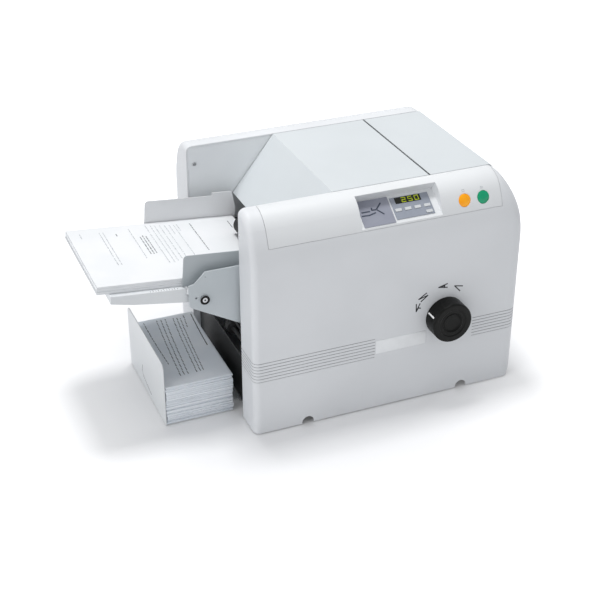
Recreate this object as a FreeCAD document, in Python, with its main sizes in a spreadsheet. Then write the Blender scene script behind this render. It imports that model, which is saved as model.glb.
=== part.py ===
import FreeCAD, Part

import os
import re

import Sketcher
from FreeCAD import Placement, Rotation, Vector

# A desk-top paper folding machine.  X runs along the machine from the feed end to the
# closed end, Y from the front cover to the rear cover, Z up.  Millimetres and degrees.

SIZES = {
    # Body: two end-on moulded covers with a metal body between them.
    "body_length": 484.0,
    "body_height": 388.0,
    "cover_depth": 58.0,
    "rear_extra": 16.0,
    "cover_wall": 3.0,
    "floor_gap": 2.0,
    "end_radius": 190.0,
    "end_arc_height": 118.0,
    "chin_radius": 130.0,
    "chin_sweep": 30.0,
    "brow_flat": 1.6,
    "left_round": 11.0,
    "right_round": 20.0,
    "rim_clearance": 0.3,
    # Ribs, foot arches and knob hole of the front cover.
    "rib_low": 101.5,
    "rib_pitch": 5.8,
    "rib_width": 1.2,
    "rib_depth": 0.6,
    "rib_count": 7.0,
    "rib_stop": 213.0,
    "rib_restart_from_end": 89.0,
    "boss_radius": 4.5,
    "boss_inset": 30.0,
    "boss_low": 42.0,
    "boss_drop": 126.0,
    "arch_width": 21.0,
    "arch_height": 14.5,
    "first_arch": 94.0,
    "second_arch_from_end": 103.0,
    # Control strip, its sunk panel and the things on it.
    "strip_left": 30.0,
    "strip_end_inset": 46.0,
    "strip_height": 51.0,
    "strip_groove": 0.6,
    "window_from_end": 297.0,
    "window_width": 142.0,
    "window_rise": 3.0,
    "panel_slope": 35.0,
    "panel_reach": 51.3,
    "pocket_wall": 2.0,
    "panel_left": 5.6,
    "panel_low": 2.0,
    "panel_thickness": 1.2,
    "panel_spacing": 3.0,
    "diagram_width": 54.5,
    "diagram_height": 47.5,
    "keypad_width": 67.5,
    "keypad_height": 39.5,
    "keypad_rise": 4.0,
    "display_width": 45.0,
    "display_height": 11.0,
    "display_rise": 27.5,
    "display_inset": 8.0,
    "panel_clearance": 0.3,
    "key_length": 11.0,
    "key_width": 5.0,
    "key_pitch": 17.0,
    "key_inset": 2.5,
    "key_rise": 13.7,
    "last_key_rise": 2.4,
    "key_proud": 0.9,
    "key_float": 0.6,
    "key_clearance": 0.3,
    "button_radius": 10.5,
    "button_proud": 2.4,
    "button_clearance": 0.4,
    "button_skirt": 7.0,
    "button_stem": 3.0,
    "button_angle": 15.5,
    "stop_button_from_end": 113.0,
    "start_button_from_end": 79.0,
    "button_edge": 0.8,
    "board_thickness": 1.6,
    "board_y": 46.0,
    "board_left_margin": 15.0,
    "board_right_margin": 25.0,
    "board_drop": 96.0,
    "board_height": 72.0,
    "switch_body": 12.0,
    "switch_face_y": 29.5,
    "post_radius": 3.0,
    # Fold selector.
    "knob_from_end": 143.0,
    "knob_z": 154.0,
    "knob_radius": 35.5,
    "knob_height": 29.0,
    "knob_gap": 0.6,
    "knob_edge": 3.0,
    "knob_ring": 25.0,
    "knob_dish": 17.0,
    "knob_dish_depth": 3.0,
    "selector_radius": 5.0,
    "cam_radius": 22.0,
    "cam_thickness": 4.0,
    # Frames, base and feet.
    "frame_thickness": 2.0,
    "base_thickness": 2.0,
    "base_inset": 20.0,
    "base_end_inset": 11.0,
    "tie_radius": 6.0,
    "low_tie_inset": 28.0,
    "low_tie_z": 26.0,
    "high_tie_inset": 38.0,
    "high_tie_drop": 138.0,
    "top_tie_x": 250.0,
    "top_tie_drop": 38.0,
    "foot_radius": 11.0,
    "foot_height": 8.0,
    "foot_inset": 42.0,
    "screw_radius": 3.4,
    "screw_height": 1.6,
    "frame_screw_x": 14.0,
    "frame_screw_drop": 33.0,
    # Hood, plate cover and end cover.
    "side_gap": 1.5,
    "sheet": 2.5,
    "hood_low_x": 82.0,
    "hood_drop": 98.0,
    "hood_bend_x": 158.5,
    "seam_from_end": 155.0,
    "seam_gap": 3.5,
    "flange_depth": 14.0,
    "flange_end": 12.0,
    "hinge_drop": 7.0,
    "hinge_inset": 7.0,
    "end_cover_gap": 3.0,
    "plate_cover_gap": 0.5,
    "tab_reach": 24.0,
    "tab_height": 20.0,
    "pin_radius": 1.5,
    "pin_clearance": 0.08,
    "louvre_count": 7.0,
    "louvre_pitch": 12.0,
    "louvre_slot": 4.5,
    "louvre_length": 120.0,
    "louvre_low": 60.0,
    # Feed table.
    "table_tilt": 5.0,
    "pivot_x": -56.5,
    "pivot_drop": 151.5,
    "pivot_radius": 4.0,
    "running_gap": 0.06,
    "bracket_gap": 8.0,
    "bracket_sheet": 2.0,
    "table_edge": 2.5,
    "table_lift": 18.8,
    "table_sheet": 1.5,
    "table_start": 26.0,
    "table_end": 131.0,
    "extension_reach": 150.0,
    "extension_gap": 2.0,
    "extension_inset": 5.0,
    "extension_lip": 11.0,
    "extension_keel": 16.5,
    "extension_keel_start": 36.0,
    "hinge_arm": 7.5,
    "bracket_top": 48.5,
    "bracket_top_reach": 2.5,
    "bracket_shoulder": 30.5,
    "bracket_shoulder_reach": 15.5,
    "bracket_nose": 25.5,
    "bracket_nose_low": 7.5,
    "bracket_chin": 12.5,
    "bracket_chin_reach": 20.5,
    "bracket_heel": 55.5,
    "bracket_inside": 36.0,
    "latch_reach": 13.5,
    "latch_rise": 4.5,
    "latch_radius": 2.0,
    "spacer_radius": 6.0,
    "nut_radius": 6.5,
    "nut_height": 2.5,
    "bolt_head": 8.0,
    "bolt_head_height": 3.0,
    "guide_sheet": 1.5,
    "guide_left": 33.0,
    "guide_length": 164.0,
    "guide_top": 72.5,
    "guide_round": 6.0,
    "guide_step": 119.0,
    "guide_step_top": 78.0,
    "guide_end_slope": 8.0,
    "guide_end_rise": 29.0,
    "guide_slip": 1.0,
    "guide_travel": 9.0,
    "tab_width": 7.0,
    "tab_slot_gap": 0.5,
    "tab_first": 45.0,
    "tab_second": 110.0,
    "tab_slot_reach": 60.0,
    "guide_foot": 26.0,
    "guide_foot_sheet": 2.0,
    "separator_gap": 4.0,
    "separator_length": 12.0,
    "separator_width": 34.0,
    "separator_height": 14.0,
    # Paper.
    "paper_length": 297.0,
    "paper_width": 210.0,
    "stack_height": 14.0,
    "stack_end": 126.0,
    "pile_length": 117.0,
    "pile_height": 74.0,
    "paper_gap": 0.3,
    # Rollers.
    "fold_radius": 18.0,
    "nip_gap": 0.4,
    "main_roller_x": 140.0,
    "main_roller_drop": 173.0,
    "roller_shaft": 6.0,
    "roller_side_gap": 12.0,
    "bush_wall": 4.0,
    "bush_length": 6.0,
    "teeth": 24.0,
    "tooth_out": 1.3,
    "tooth_in": 1.8,
    "gear_width": 8.0,
    "gear_gap": 5.0,
    "feed_roller_radius": 16.0,
    "feed_roller_width": 66.0,
    "feed_roller_inset": 9.0,
    "feed_shaft_radius": 4.0,
    "feed_shaft_angle": 45.0,
    "feed_shaft_reach": 45.5,
    "hub_radius": 5.0,
    "hub_width": 9.0,
    "feed_axle": 3.0,
    "arm_sheet": 2.0,
    "arm_half": 4.5,
    "arm_gap": 1.0,
    "pulley_gap": 4.0,
    "pulley_width": 9.0,
    "belt_thickness": 1.5,
    "belt_gap": 0.3,
    "main_pulley": 16.0,
    "motor_pulley_radius": 10.0,
    "motor_from_end": 84.0,
    "motor_z": 70.0,
    "motor_radius": 36.0,
    "motor_length": 110.0,
    "motor_shaft_radius": 4.0,
    "motor_opening": 9.0,
    "tooth_half": 1.0,
    "shaft_end": 5.0,
    "upper_pulley": 10.0,
    "feed_pulley": 15.0,
    "take_off_pulley": 10.0,
    "delivery_pulley": 8.0,
    "delivery_x": 30.0,
    "delivery_z": 100.0,
    "delivery_radius": 12.0,
    "delivery_shaft": 4.0,
    "pinch_radius": 7.0,
    "pinch_shaft": 2.5,
    "wheel_width": 14.0,
    "wheel_pitch": 78.0,
    # Fold plates, ramp, chute and delivery.
    "plate_sheet": 1.2,
    "plate_gap": 3.0,
    "upper_plate_ahead": 45.0,
    "upper_plate_rise": 23.0,
    "upper_plate_slope": 25.0,
    "upper_plate_length": 235.0,
    "lower_plate_ahead": 24.0,
    "lower_plate_drop": 29.0,
    "lower_plate_slope": 32.0,
    "lower_plate_gap": 13.4,
    "stop_slot_inset": 50.0,
    "stop_slot_width": 8.0,
    "stop_slot_pitch": 116.0,
    "stop_thickness": 2.0,
    "stop_travel": 60.0,
    "stop_bar": 12.0,
    "ramp_end_back": 21.0,
    "ramp_end_rise": 17.0,
    "chute_top_back": 32.0,
    "chute_top_drop": 47.0,
    "chute_low_ahead": 18.0,
    "chute_low_rise": 10.0,
    "runner_width": 8.0,
    "runner_end": 116.0,
    "wall_x": 13.0,
    "wall_top": 96.0,
    "stop_x": -126.0,
    "stop_plate_height": 119.0,
    "stop_plate_sheet": 1.5,
    "stop_round": 12.0,
    "foot_sheet": 1.2,
    "foot_sheet_z": 1.0,
    "foot_sheet_end": 110.0,
    "foot_sheet_width": 150.0,
    # Mains inlet and switch in the rear cover.
    "inlet_from_end": 64.0,
    "inlet_z": 48.0,
    "inlet_width": 28.0,
    "inlet_height": 20.0,
    "inlet_depth": 18.0,
    "inlet_flange": 3.0,
    "inlet_flange_proud": 1.5,
    "inlet_wall": 2.0,
    "contact_length": 8.0,
    "contact_width": 5.0,
    "contact_thickness": 1.6,
    "contact_pitch": 7.0,
    "switch_pitch": 42.0,
    "switch_width": 16.0,
    "switch_height": 22.0,
    "rocker_gap": 0.4,
    "rocker_depth": 7.0,
    "rocker_proud": 2.0,
    "rocker_sink": 1.6,
    "switch_swing": 6.0,
}

DERIVED = {
    "table_y": "cover_depth + bracket_gap + bracket_sheet",
    "guide_y": "table_y + table_edge + tab_slot_gap + guide_travel",
    "paper_y": "guide_y + guide_sheet + guide_slip",
    "body_depth": "paper_width + 2 * paper_y",
    "half_depth": "body_depth / 2",
    "rear_face": "body_depth + rear_extra",
    "end_start": "body_height - end_arc_height",
    "strip_low": "body_height - strip_height",
    "boss_high": "body_height - boss_drop",
    "board_low": "body_height - board_drop",
    "high_tie_z": "body_height - high_tie_drop",
    "frame_screw_z": "body_height - frame_screw_drop",
    "hood_low_z": "body_height - hood_drop",
    "pivot_z": "body_height - pivot_drop",
    "main_roller_z": "body_height - main_roller_drop",
    "rib_restart": "body_length - rib_restart_from_end",
    "second_arch": "body_length - second_arch_from_end",
    "window_left": "body_length - window_from_end",
    "stop_button_x": "body_length - stop_button_from_end",
    "start_button_x": "body_length - start_button_from_end",
    "board_left": "window_left - board_left_margin",
    "board_width": "start_button_x + board_right_margin - board_left",
    "knob_x": "body_length - knob_from_end",
    "seam_x": "body_length - seam_from_end",
    "motor_x": "body_length - motor_from_end",
    "inlet_x": "body_length - inlet_from_end",
    "upper_plate_x": "main_roller_x + upper_plate_ahead",
    "upper_plate_z": "main_roller_z + upper_plate_rise",
    "lower_plate_x": "main_roller_x + lower_plate_ahead",
    "lower_plate_z": "main_roller_z - lower_plate_drop",
    "lower_plate_run": "motor_x - motor_radius - lower_plate_gap - lower_plate_x",
    "lower_plate_length": "lower_plate_run / cos(lower_plate_slope * 1deg)",
    "ramp_end_x": "main_roller_x - ramp_end_back",
    "ramp_end_z": "main_roller_z + ramp_end_rise",
    "chute_top_x": "main_roller_x - chute_top_back",
    "chute_top_z": "main_roller_z - chute_top_drop",
    "chute_low_x": "delivery_x + chute_low_ahead",
    "chute_low_z": "delivery_z + chute_low_rise",
    "stack_left": "stack_end - paper_length",
    "origin_x": "(body_length + stack_low_x) / 2",
    "origin_y": "(rear_face + inlet_flange_proud - knob_gap - knob_height) / 2",
    "chin_cos": "cos(chin_sweep * 1deg)",
    "chin_sin": "sin(chin_sweep * 1deg)",
    "brow_radius": "(cover_depth - brow_flat - chin_radius * (1 - chin_cos)) / chin_cos",
    "chin_z": "body_height - chin_radius * chin_sin - brow_radius * (1 - chin_sin)",
    "brow_y": "chin_radius - (chin_radius - brow_radius) * chin_cos",
    "brow_z": "chin_z + (chin_radius - brow_radius) * chin_sin",
    "end_centre_x": "body_length - end_radius",
    "end_top_x": "end_centre_x + sqrt(end_radius ^ 2 - (body_height - end_start) ^ 2)",
    "strip_right": "body_length - strip_end_inset",
    "window_low_z": "strip_low + window_rise",
    "window_low_y": "chin_radius - sqrt(chin_radius ^ 2 - (window_low_z - chin_z) ^ 2)",
    "button_y": "brow_y - brow_radius * cos(button_angle * 1deg)",
    "button_z": "brow_z + brow_radius * sin(button_angle * 1deg)",
    "front_frame_y": "cover_depth - frame_thickness",
    "rear_frame_y": "body_depth - cover_depth",
    "inner_width": "body_depth - 2 * cover_depth",
    "base_z": "foot_height",
    "base_top": "foot_height + base_thickness",
    "hood_width": "inner_width - 2 * side_gap",
    "hood_y": "cover_depth + side_gap",
    "hood_slope": "atan((body_height - hood_low_z) / (hood_bend_x - hood_low_x)) / 1deg",
    "hinge_z": "body_height - hinge_drop",
    "hood_hinge_x": "seam_x - hinge_inset",
    "plate_cover_x": "seam_x + seam_gap",
    "plate_cover_end": "end_top_x - plate_cover_gap",
    "plate_hinge_x": "plate_cover_end - hinge_inset",
    "roller_pitch": "2 * fold_radius + nip_gap",
    "top_roller_z": "main_roller_z + roller_pitch",
    "right_roller_x": "main_roller_x + roller_pitch",
    "low_roller_z": "main_roller_z - roller_pitch",
    "feed_shaft_x": "main_roller_x - feed_shaft_reach * cos(feed_shaft_angle * 1deg)",
    "feed_shaft_z": "top_roller_z + feed_shaft_reach * sin(feed_shaft_angle * 1deg)",
    "feed_roller_u": "stack_left + paper_length - feed_roller_inset",
    "feed_roller_n": "table_lift + stack_height + 2 * paper_gap + feed_roller_radius",
    "tilt_cos": "cos(table_tilt * 1deg)",
    "tilt_sin": "sin(table_tilt * 1deg)",
    "feed_roller_x": "pivot_x + feed_roller_u * tilt_cos + feed_roller_n * tilt_sin",
    "feed_roller_z": "pivot_z - feed_roller_u * tilt_sin + feed_roller_n * tilt_cos",
    "stack_low_x": "pivot_x + stack_left * tilt_cos + (table_lift + paper_gap) * tilt_sin",
    "gear_y": "rear_frame_y + gear_gap",
    "pulley_y": "gear_y + gear_width + pulley_gap",
    "bracket_y": "cover_depth + bracket_gap",
    "table_width": "body_depth - 2 * table_y",
    "extension_y": "table_y + extension_inset",
    "extension_width": "body_depth - 2 * extension_y",
    "feed_arm_run": "feed_shaft_x - feed_roller_x",
    "feed_arm_rise": "feed_shaft_z - feed_roller_z",
    "feed_arm_length": "sqrt(feed_arm_run ^ 2 + feed_arm_rise ^ 2)",
    "feed_arm_slope": "asin(feed_arm_rise / feed_arm_length) / 1deg",
    "pinch_z": "delivery_z + delivery_radius + nip_gap + pinch_radius",
    "rim": "cover_wall + rim_clearance",
    "stop_slot": "stop_travel + 3 * stop_bar",
    "table_end_x": "pivot_x + table_end * tilt_cos + table_lift * tilt_sin",
    "table_end_z": "pivot_z - table_end * tilt_sin + table_lift * tilt_cos",
    "separator_x": "table_end_x + separator_gap",
    "main_belt_run": "motor_x - main_roller_x",
    "main_belt_drop": "main_roller_z - motor_z",
    "main_belt_length": "sqrt(main_belt_run ^ 2 + main_belt_drop ^ 2)",
    "main_belt_slope": "atan(main_belt_drop / main_belt_run) / 1deg",
    "exit_belt_run": "main_roller_x - delivery_x",
    "exit_belt_drop": "low_roller_z - delivery_z",
    "exit_belt_length": "sqrt(exit_belt_run ^ 2 + exit_belt_drop ^ 2)",
    "exit_belt_slope": "180 - atan(exit_belt_drop / exit_belt_run) / 1deg",
    "foot_sheet_top": "foot_sheet_z + foot_sheet",
}

doc = FreeCAD.newDocument("paper_folding_machine")
sheet = doc.addObject("Spreadsheet::Sheet", "sizes")
SUBPARTS = []


def fill_sheet():
    """Write every driving size and every worked-out size, each under its own alias."""
    row = 1
    for name, number in SIZES.items():
        sheet.set(f"A{row}", str(number))
        sheet.setAlias(f"A{row}", name)
        row += 1
    for name, formula in DERIVED.items():
        sheet.set(f"A{row}", "=" + formula)
        sheet.setAlias(f"A{row}", name)
        row += 1
    doc.recompute()


def bound(formula):
    """Give a formula in size names as an expression on the sheet."""
    def point_at_sheet(word):
        name = word.group()
        known = name in SIZES or name in DERIVED
        return "sizes." + name if known else name
    return re.sub(r"[a-z][a-z_]*", point_at_sheet, str(formula))


def number(formula):
    """Give the present value of a formula in size names."""
    result = sheet.evalExpression(bound(formula))
    return float(getattr(result, "Value", result))


def placed(feature, x=0, y=0, z=0, axis=None, angle=0):
    """Bind a feature's position, and its turn about one axis, to the sheet."""
    if axis:
        feature.Placement = Placement(Vector(), Rotation(Vector(*axis), 1))
        feature.setExpression(".Placement.Rotation.Angle", bound(angle))
    feature.setExpression(".Placement.Base.x", bound(x))
    feature.setExpression(".Placement.Base.y", bound(y))
    feature.setExpression(".Placement.Base.z", bound(z))
    return feature


def block(name, size, corner, axis=None, angle=0):
    """A box given by its three lengths and the place of its low corner."""
    box = doc.addObject("Part::Box", name)
    for prop, formula in zip(("Length", "Width", "Height"), size):
        box.setExpression(prop, bound(formula))
    return placed(box, *corner, axis=axis, angle=angle)


def rod(name, radius, length, start, along="y"):
    """A cylinder from its start along one axis."""
    cylinder = doc.addObject("Part::Cylinder", name)
    cylinder.setExpression("Radius", bound(radius))
    cylinder.setExpression("Height", bound(length))
    turns = {"x": ((0, 1, 0), 90), "y": ((-1, 0, 0), 90), "z": ((0, 0, 1), 0)}
    axis, angle = turns[along]
    return placed(cylinder, *start, axis=axis, angle=angle)


def group(name, pieces):
    """Several solids kept apart in one feature."""
    compound = doc.addObject("Part::Compound", name)
    compound.Links = pieces
    return compound


def fused(name, pieces):
    """Several solids joined into one."""
    fusion = doc.addObject("Part::MultiFuse", name)
    fusion.Shapes = pieces
    fusion.Refine = True
    return fusion


def shared(name, first, second):
    """What two solids have in common."""
    common = doc.addObject("Part::MultiCommon", name)
    common.Shapes = [first, second]
    return common


def cut(name, base, tools):
    """A solid with one or more others taken out of it."""
    difference = doc.addObject("Part::Cut", name)
    difference.Base = base
    difference.Tool = tools[0] if len(tools) == 1 else group(name + "_tools", tools)
    return difference


def mirrored(name, source):
    """A copy on the other side of the machine's middle plane."""
    mirror = doc.addObject("Part::Mirroring", name)
    mirror.Source = source
    mirror.Normal = Vector(0, 1, 0)
    mirror.setExpression(".Base.y", bound("half_depth"))
    return mirror


def arc_centre(start, end, radius, side):
    """Centre of the arc between two points; side 1 turns anticlockwise, -1 clockwise."""
    chord = end - start
    rise = max(radius ** 2 - chord.Length ** 2 / 4, 0) ** 0.5
    across = Vector(-chord.y, chord.x, 0).normalize()
    return (start + end) * 0.5 + across * (rise * side)


def add_edge(sketch, start, end, arc):
    """Add a line or an arc and give its index and which of its ends comes first."""
    if not arc:
        return sketch.addGeometry(Part.LineSegment(start, end)), (1, 2)
    radius, side = number(arc[0]), arc[1]
    centre = arc_centre(start, end, radius, side)
    circle = Part.Circle(centre, Vector(0, 0, 1), radius)
    first, last = (start, end) if side > 0 else (end, start)
    curve = Part.ArcOfCircle(circle, circle.parameter(first), circle.parameter(last))
    return sketch.addGeometry(curve), (1, 2) if side > 0 else (2, 1)


def fix(sketch, kind, geometry, end, formula):
    """Add one dimension to a sketch and bind it to the sheet."""
    if kind == "Radius":
        index = sketch.addConstraint(Sketcher.Constraint(kind, geometry, number(formula)))
    else:
        index = sketch.addConstraint(Sketcher.Constraint(kind, -1, 1, geometry, end, number(formula)))
    sketch.setExpression(f"Constraints[{index}]", bound(formula))


def draw_loop(sketch, points):
    """Draw a closed outline; a point may carry the arc that leads to the next one."""
    places = [Vector(number(point[0]), number(point[1]), 0) for point in points]
    edges = []
    for index, point in enumerate(points):
        arc = point[2:] if len(point) > 2 else None
        edges.append(add_edge(sketch, places[index], places[(index + 1) % len(points)], arc))
    for index, point in enumerate(points):
        geometry, ends = edges[index]
        following, following_ends = edges[(index + 1) % len(points)]
        sketch.addConstraint(
            Sketcher.Constraint("Coincident", geometry, ends[1], following, following_ends[0])
        )
        fix(sketch, "DistanceX", geometry, ends[0], point[0])
        fix(sketch, "DistanceY", geometry, ends[0], point[1])
        if len(point) > 2:
            fix(sketch, "Radius", geometry, None, point[2])


def draw_circle(sketch, u, v, radius):
    """Draw a hole of a given centre and radius."""
    circle = Part.Circle(Vector(number(u), number(v), 0), Vector(0, 0, 1), number(radius))
    geometry = sketch.addGeometry(circle)
    fix(sketch, "DistanceX", geometry, 3, u)
    fix(sketch, "DistanceY", geometry, 3, v)
    fix(sketch, "Radius", geometry, None, radius)


def body_sketch(body, plane, loops=(), circles=()):
    """A sketch on one of a body's own origin planes."""
    sketch = body.newObject("Sketcher::SketchObject", body.Name + "_sketch")
    support = [item for item in body.Origin.OriginFeatures if item.Role == plane][0]
    sketch.AttachmentSupport = [(support, "")]
    sketch.MapMode = "FlatFace"
    for loop in loops:
        draw_loop(sketch, loop)
    for circle in circles:
        draw_circle(sketch, *circle)
    return sketch


def padded(name, plane, loops, length, circles=()):
    """A body padded from an outline: along +Z, +Y or +X for the XY, XZ and YZ planes."""
    body = doc.addObject("PartDesign::Body", name)
    pad = body.newObject("PartDesign::Pad", name + "_pad")
    pad.Profile = body_sketch(body, plane, loops, circles)
    pad.Reversed = plane == "XZ_Plane"
    pad.setExpression("Length", bound(length))
    return body


def turned(name, outline):
    """A body turned about its own Z axis from a half outline in its XZ plane."""
    body = doc.addObject("PartDesign::Body", name)
    revolution = body.newObject("PartDesign::Revolution", name + "_turn")
    sketch = body_sketch(body, "XZ_Plane", [outline])
    revolution.Profile = sketch
    revolution.ReferenceAxis = (sketch, ["V_Axis"])
    revolution.Angle = 360
    return body


def rounded(body, name, radius, chosen):
    """Round the edges of a body that the given test picks."""
    doc.recompute()
    base = body.Tip
    names = [f"Edge{index + 1}" for index, edge in enumerate(base.Shape.Edges) if chosen(edge)]
    fillet = body.newObject("PartDesign::Fillet", name)
    fillet.Base = (base, names)
    fillet.setExpression("Radius", bound(radius))
    body.Tip = fillet
    return body


def subpart(label, *pieces):
    """Name a finished sub-part and stand it in the machine's own frame."""
    holder = group(label + "_pieces", list(pieces))
    holder.Label = label
    holder.setExpression(".Placement.Base.x", bound("-origin_x"))
    holder.setExpression(".Placement.Base.y", bound("-origin_y"))
    SUBPARTS.append(holder)
    return holder


# ---------------------------------------------------------------- moulded end-on covers

def cover_core(name, inset, extra="0"):
    """The solid outer shape of a cover, or with an inset the space inside its wall; extra makes it deeper."""
    low = f"floor_gap - 2 * ({inset})"
    top = f"body_height - {inset}"
    end_radius = f"(end_radius - {inset})"
    chin = f"(chin_radius - {inset})"
    brow = f"(brow_radius - {inset})"
    end_top = f"end_centre_x + sqrt({end_radius} ^ 2 - ({top} - end_start) ^ 2)"
    end_view = [
        (inset, low),
        (f"body_length - {inset}", low),
        (f"body_length - {inset}", "end_start", end_radius, 1),
        (end_top, top),
        (inset, top),
    ]
    side_view = [
        (inset, "-cover_depth"),
        (inset, "chin_z", chin, -1),
        (f"chin_radius - {chin} * chin_cos", f"chin_z + {chin} * chin_sin", brow, -1),
        ("brow_y", top),
        ("brow_y", "body_height + cover_depth"),
        ("-cover_depth", "body_height + cover_depth"),
        ("-cover_depth", "-cover_depth"),
    ]
    body = padded(name, "XZ_Plane", [end_view], f"cover_depth + {extra} + {inset}")
    front = body.newObject("PartDesign::Pocket", name + "_front")
    front.Profile = body_sketch(body, "YZ_Plane", [side_view])
    front.Type = "ThroughAll"
    front.Reversed = True
    body.Tip = front

    wall = number(inset)
    far = number("cover_depth") + number(extra) + wall

    def on_left(edge):
        box = edge.BoundBox
        return box.XMax < wall + 0.01 and box.ZLength + box.YLength > 0.1 and box.YMin < far - 0.01 \
            and box.ZMax > number(low) + 0.01

    def on_right(edge):
        box = edge.BoundBox
        rising = box.ZLength > 1 and box.YMin < far - 0.01 and box.YMax < far - 0.01
        return rising and box.XMin > number("end_top_x") - wall - 2 and box.XMax > number("end_top_x")

    rounded(body, name + "_left_round", f"left_round - {inset}", on_left)
    rounded(body, name + "_right_round", f"right_round - {inset}", on_right)
    return body


def boss_places():
    """Each screw boss of a cover: its name, X and Z."""
    return (
        ("low_left", "boss_inset", "boss_low"),
        ("low_right", "body_length - boss_inset", "boss_low"),
        ("high_left", "boss_inset", "boss_high"),
        ("high_right", "body_length - boss_inset", "boss_high"),
    )


def cover_bosses(name, start):
    """The screw bosses of a cover, from inside its wall to the front frame."""
    return [
        rod(f"{name}_{corner}", "boss_radius", f"front_frame_y - ({start})", (x, start, z))
        for corner, x, z in boss_places()
    ]


def make_front_cover(outer, shell):
    """The front moulding, open where the control strip sits in it, with its bands of grooves."""
    opening = block(
        "strip_opening",
        ("strip_right - strip_left + 2 * strip_groove", "2 * cover_depth", "body_height"),
        ("strip_left - strip_groove", "-cover_depth / 2", "strip_low - strip_groove"),
    )
    rings = []
    for index in range(int(number("rib_count"))):
        height = f"rib_low + {index} * rib_pitch"
        for side, start, end in (
            ("left", "-rib_depth", "rib_stop"), ("right", "rib_restart", "body_length + rib_depth"),
        ):
            size = (f"{end} - {start}", "cover_depth + 2 * rib_depth", "rib_width")
            rings.append(block(f"rib_{side}_{index}", size, (start, "-rib_depth", height)))
    grooves = cut("rib_grooves", fused("rib_rings", rings), [cover_core("rib_floor", "rib_depth")])
    tools = [opening, grooves]
    for name, middle in (("first", "first_arch"), ("second", "second_arch"), ("corner", "body_length")):
        start = (middle, "-right_round", "arch_height - arch_width / 2")
        tools.append(rod(f"arch_{name}", "arch_width / 2", "2 * right_round", start))
    tools.append(
        rod(
            "knob_hole",
            "selector_radius + knob_gap",
            "2 * cover_wall",
            ("knob_x", "-cover_wall / 2", "knob_z"),
        )
    )
    bare = cut("front_cover_cut", shell, tools)
    bosses = cover_bosses("front_boss", "cover_wall / 2")
    subpart("front_cover", fused("front_cover_whole", [bare] + bosses))


def in_panel(name, *pieces):
    """Stand pieces on the sunk panel: X along it, Y up its slope, Z out of it."""
    return placed(
        group(name, list(pieces)), "window_left", "window_low_y", "window_low_z", (1, 0, 0), "panel_slope",
    )


def on_brow(name, piece, middle):
    """Stand a piece on the curved front at a button's place, its Z axis pointing out."""
    return placed(group(name, [piece]), middle, "button_y", "button_z", (1, 0, 0), "90 - button_angle")


def make_control_strip(outer, shell):
    """The inset moulding with its sunk panel pocket and the two button holes."""
    region = block(
        "strip_region",
        ("strip_right - strip_left", "2 * cover_depth", "body_height"),
        ("strip_left", "-cover_depth / 2", "strip_low"),
    )
    band = shared("strip_band", shell, region)
    pocket_block = block(
        "pocket_block",
        ("window_width + 2 * pocket_wall", "panel_reach + 2 * pocket_wall", "body_height"),
        ("-pocket_wall", "-pocket_wall", "-pocket_wall"),
    )
    pocket = shared("pocket_solid", outer, in_panel("pocket_place", pocket_block))
    space = block("pocket_space", ("window_width", "panel_reach", "body_height"), (0, 0, 0))
    tools = [in_panel("pocket_space_place", space)]
    for name, middle in (("stop", "stop_button_x"), ("start", "start_button_x")):
        hole = rod(
            f"{name}_hole",
            "button_radius + button_clearance",
            "cover_depth",
            (0, 0, "-cover_depth / 2"),
            "z",
        )
        tools.append(on_brow(f"{name}_hole_place", hole, middle))
    subpart("control_strip", cut("strip_cut", fused("strip_whole", [band, pocket]), tools))


def make_panel():
    """Diagram plate, keypad with its display and five small keys."""
    plate_size = ("diagram_width", "diagram_height", "panel_thickness")
    subpart(
        "diagram_panel",
        in_panel("diagram_place", block("diagram_plate", plate_size, ("panel_left", "panel_low", 0))),
    )

    keypad_left = "(panel_left + diagram_width + panel_spacing)"
    keypad_low = "(panel_low + keypad_rise)"
    keypad = block(
        "keypad_plate", ("keypad_width", "keypad_height", "panel_thickness"), (keypad_left, keypad_low, 0),
    )
    display_size = ("display_width", "display_height", "panel_thickness")
    display_left = f"({keypad_left} + display_inset)"
    display_low = f"({keypad_low} + display_rise)"
    clearance = "panel_clearance"
    holes = [block(
        "display_hole",
        (f"display_width + 2 * {clearance}", f"display_height + 2 * {clearance}", "3 * panel_thickness"),
        (f"{display_left} - {clearance}", f"{display_low} - {clearance}", "-panel_thickness"),
    )]
    display = block("display_plate", display_size, (display_left, display_low, 0))

    first_key = f"({keypad_left} + key_inset)"
    keys = [(f"{first_key} + {index} * key_pitch", f"{keypad_low} + key_rise") for index in range(4)]
    keys.append((f"{first_key} + 3 * key_pitch", f"{keypad_low} + last_key_rise"))
    caps = []
    for index, (left, low) in enumerate(keys):
        gap = "key_clearance"
        holes.append(block(
            f"key_hole_{index}",
            (f"key_length + 2 * {gap}", f"key_width + 2 * {gap}", "3 * panel_thickness"),
            (f"{left} - {gap}", f"{low} - {gap}", "-panel_thickness"),
        ))
        size = ("key_length", "key_width", "panel_thickness + key_proud - key_float")
        caps.append(block(f"key_cap_{index}", size, (left, low, "key_float")))
    subpart("keypad_panel", in_panel("keypad_place", cut("keypad_cut", keypad, holes)))
    subpart("display_window", in_panel("display_place", display))
    for index, cap in enumerate(caps):
        subpart(f"panel_key_{index + 1}", in_panel(f"key_place_{index}", cap))


def make_buttons():
    """The two domed push buttons."""
    for name, middle in (("stop", "stop_button_x"), ("start", "start_button_x")):
        dome_rise = "(button_proud - button_edge)"
        dome = f"(button_radius ^ 2 + {dome_rise} ^ 2) / (2 * {dome_rise})"
        outline = [
            (0, "-2 * button_skirt"),
            ("button_stem", "-2 * button_skirt"),
            ("button_stem", "-button_skirt"),
            ("button_radius", "-button_skirt"),
            ("button_radius", "button_edge", dome, 1),
            (0, "button_proud"),
        ]
        subpart(
            f"{name}_button",
            on_brow(f"{name}_button_place", turned(f"{name}_button_body", outline), middle),
        )


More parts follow.
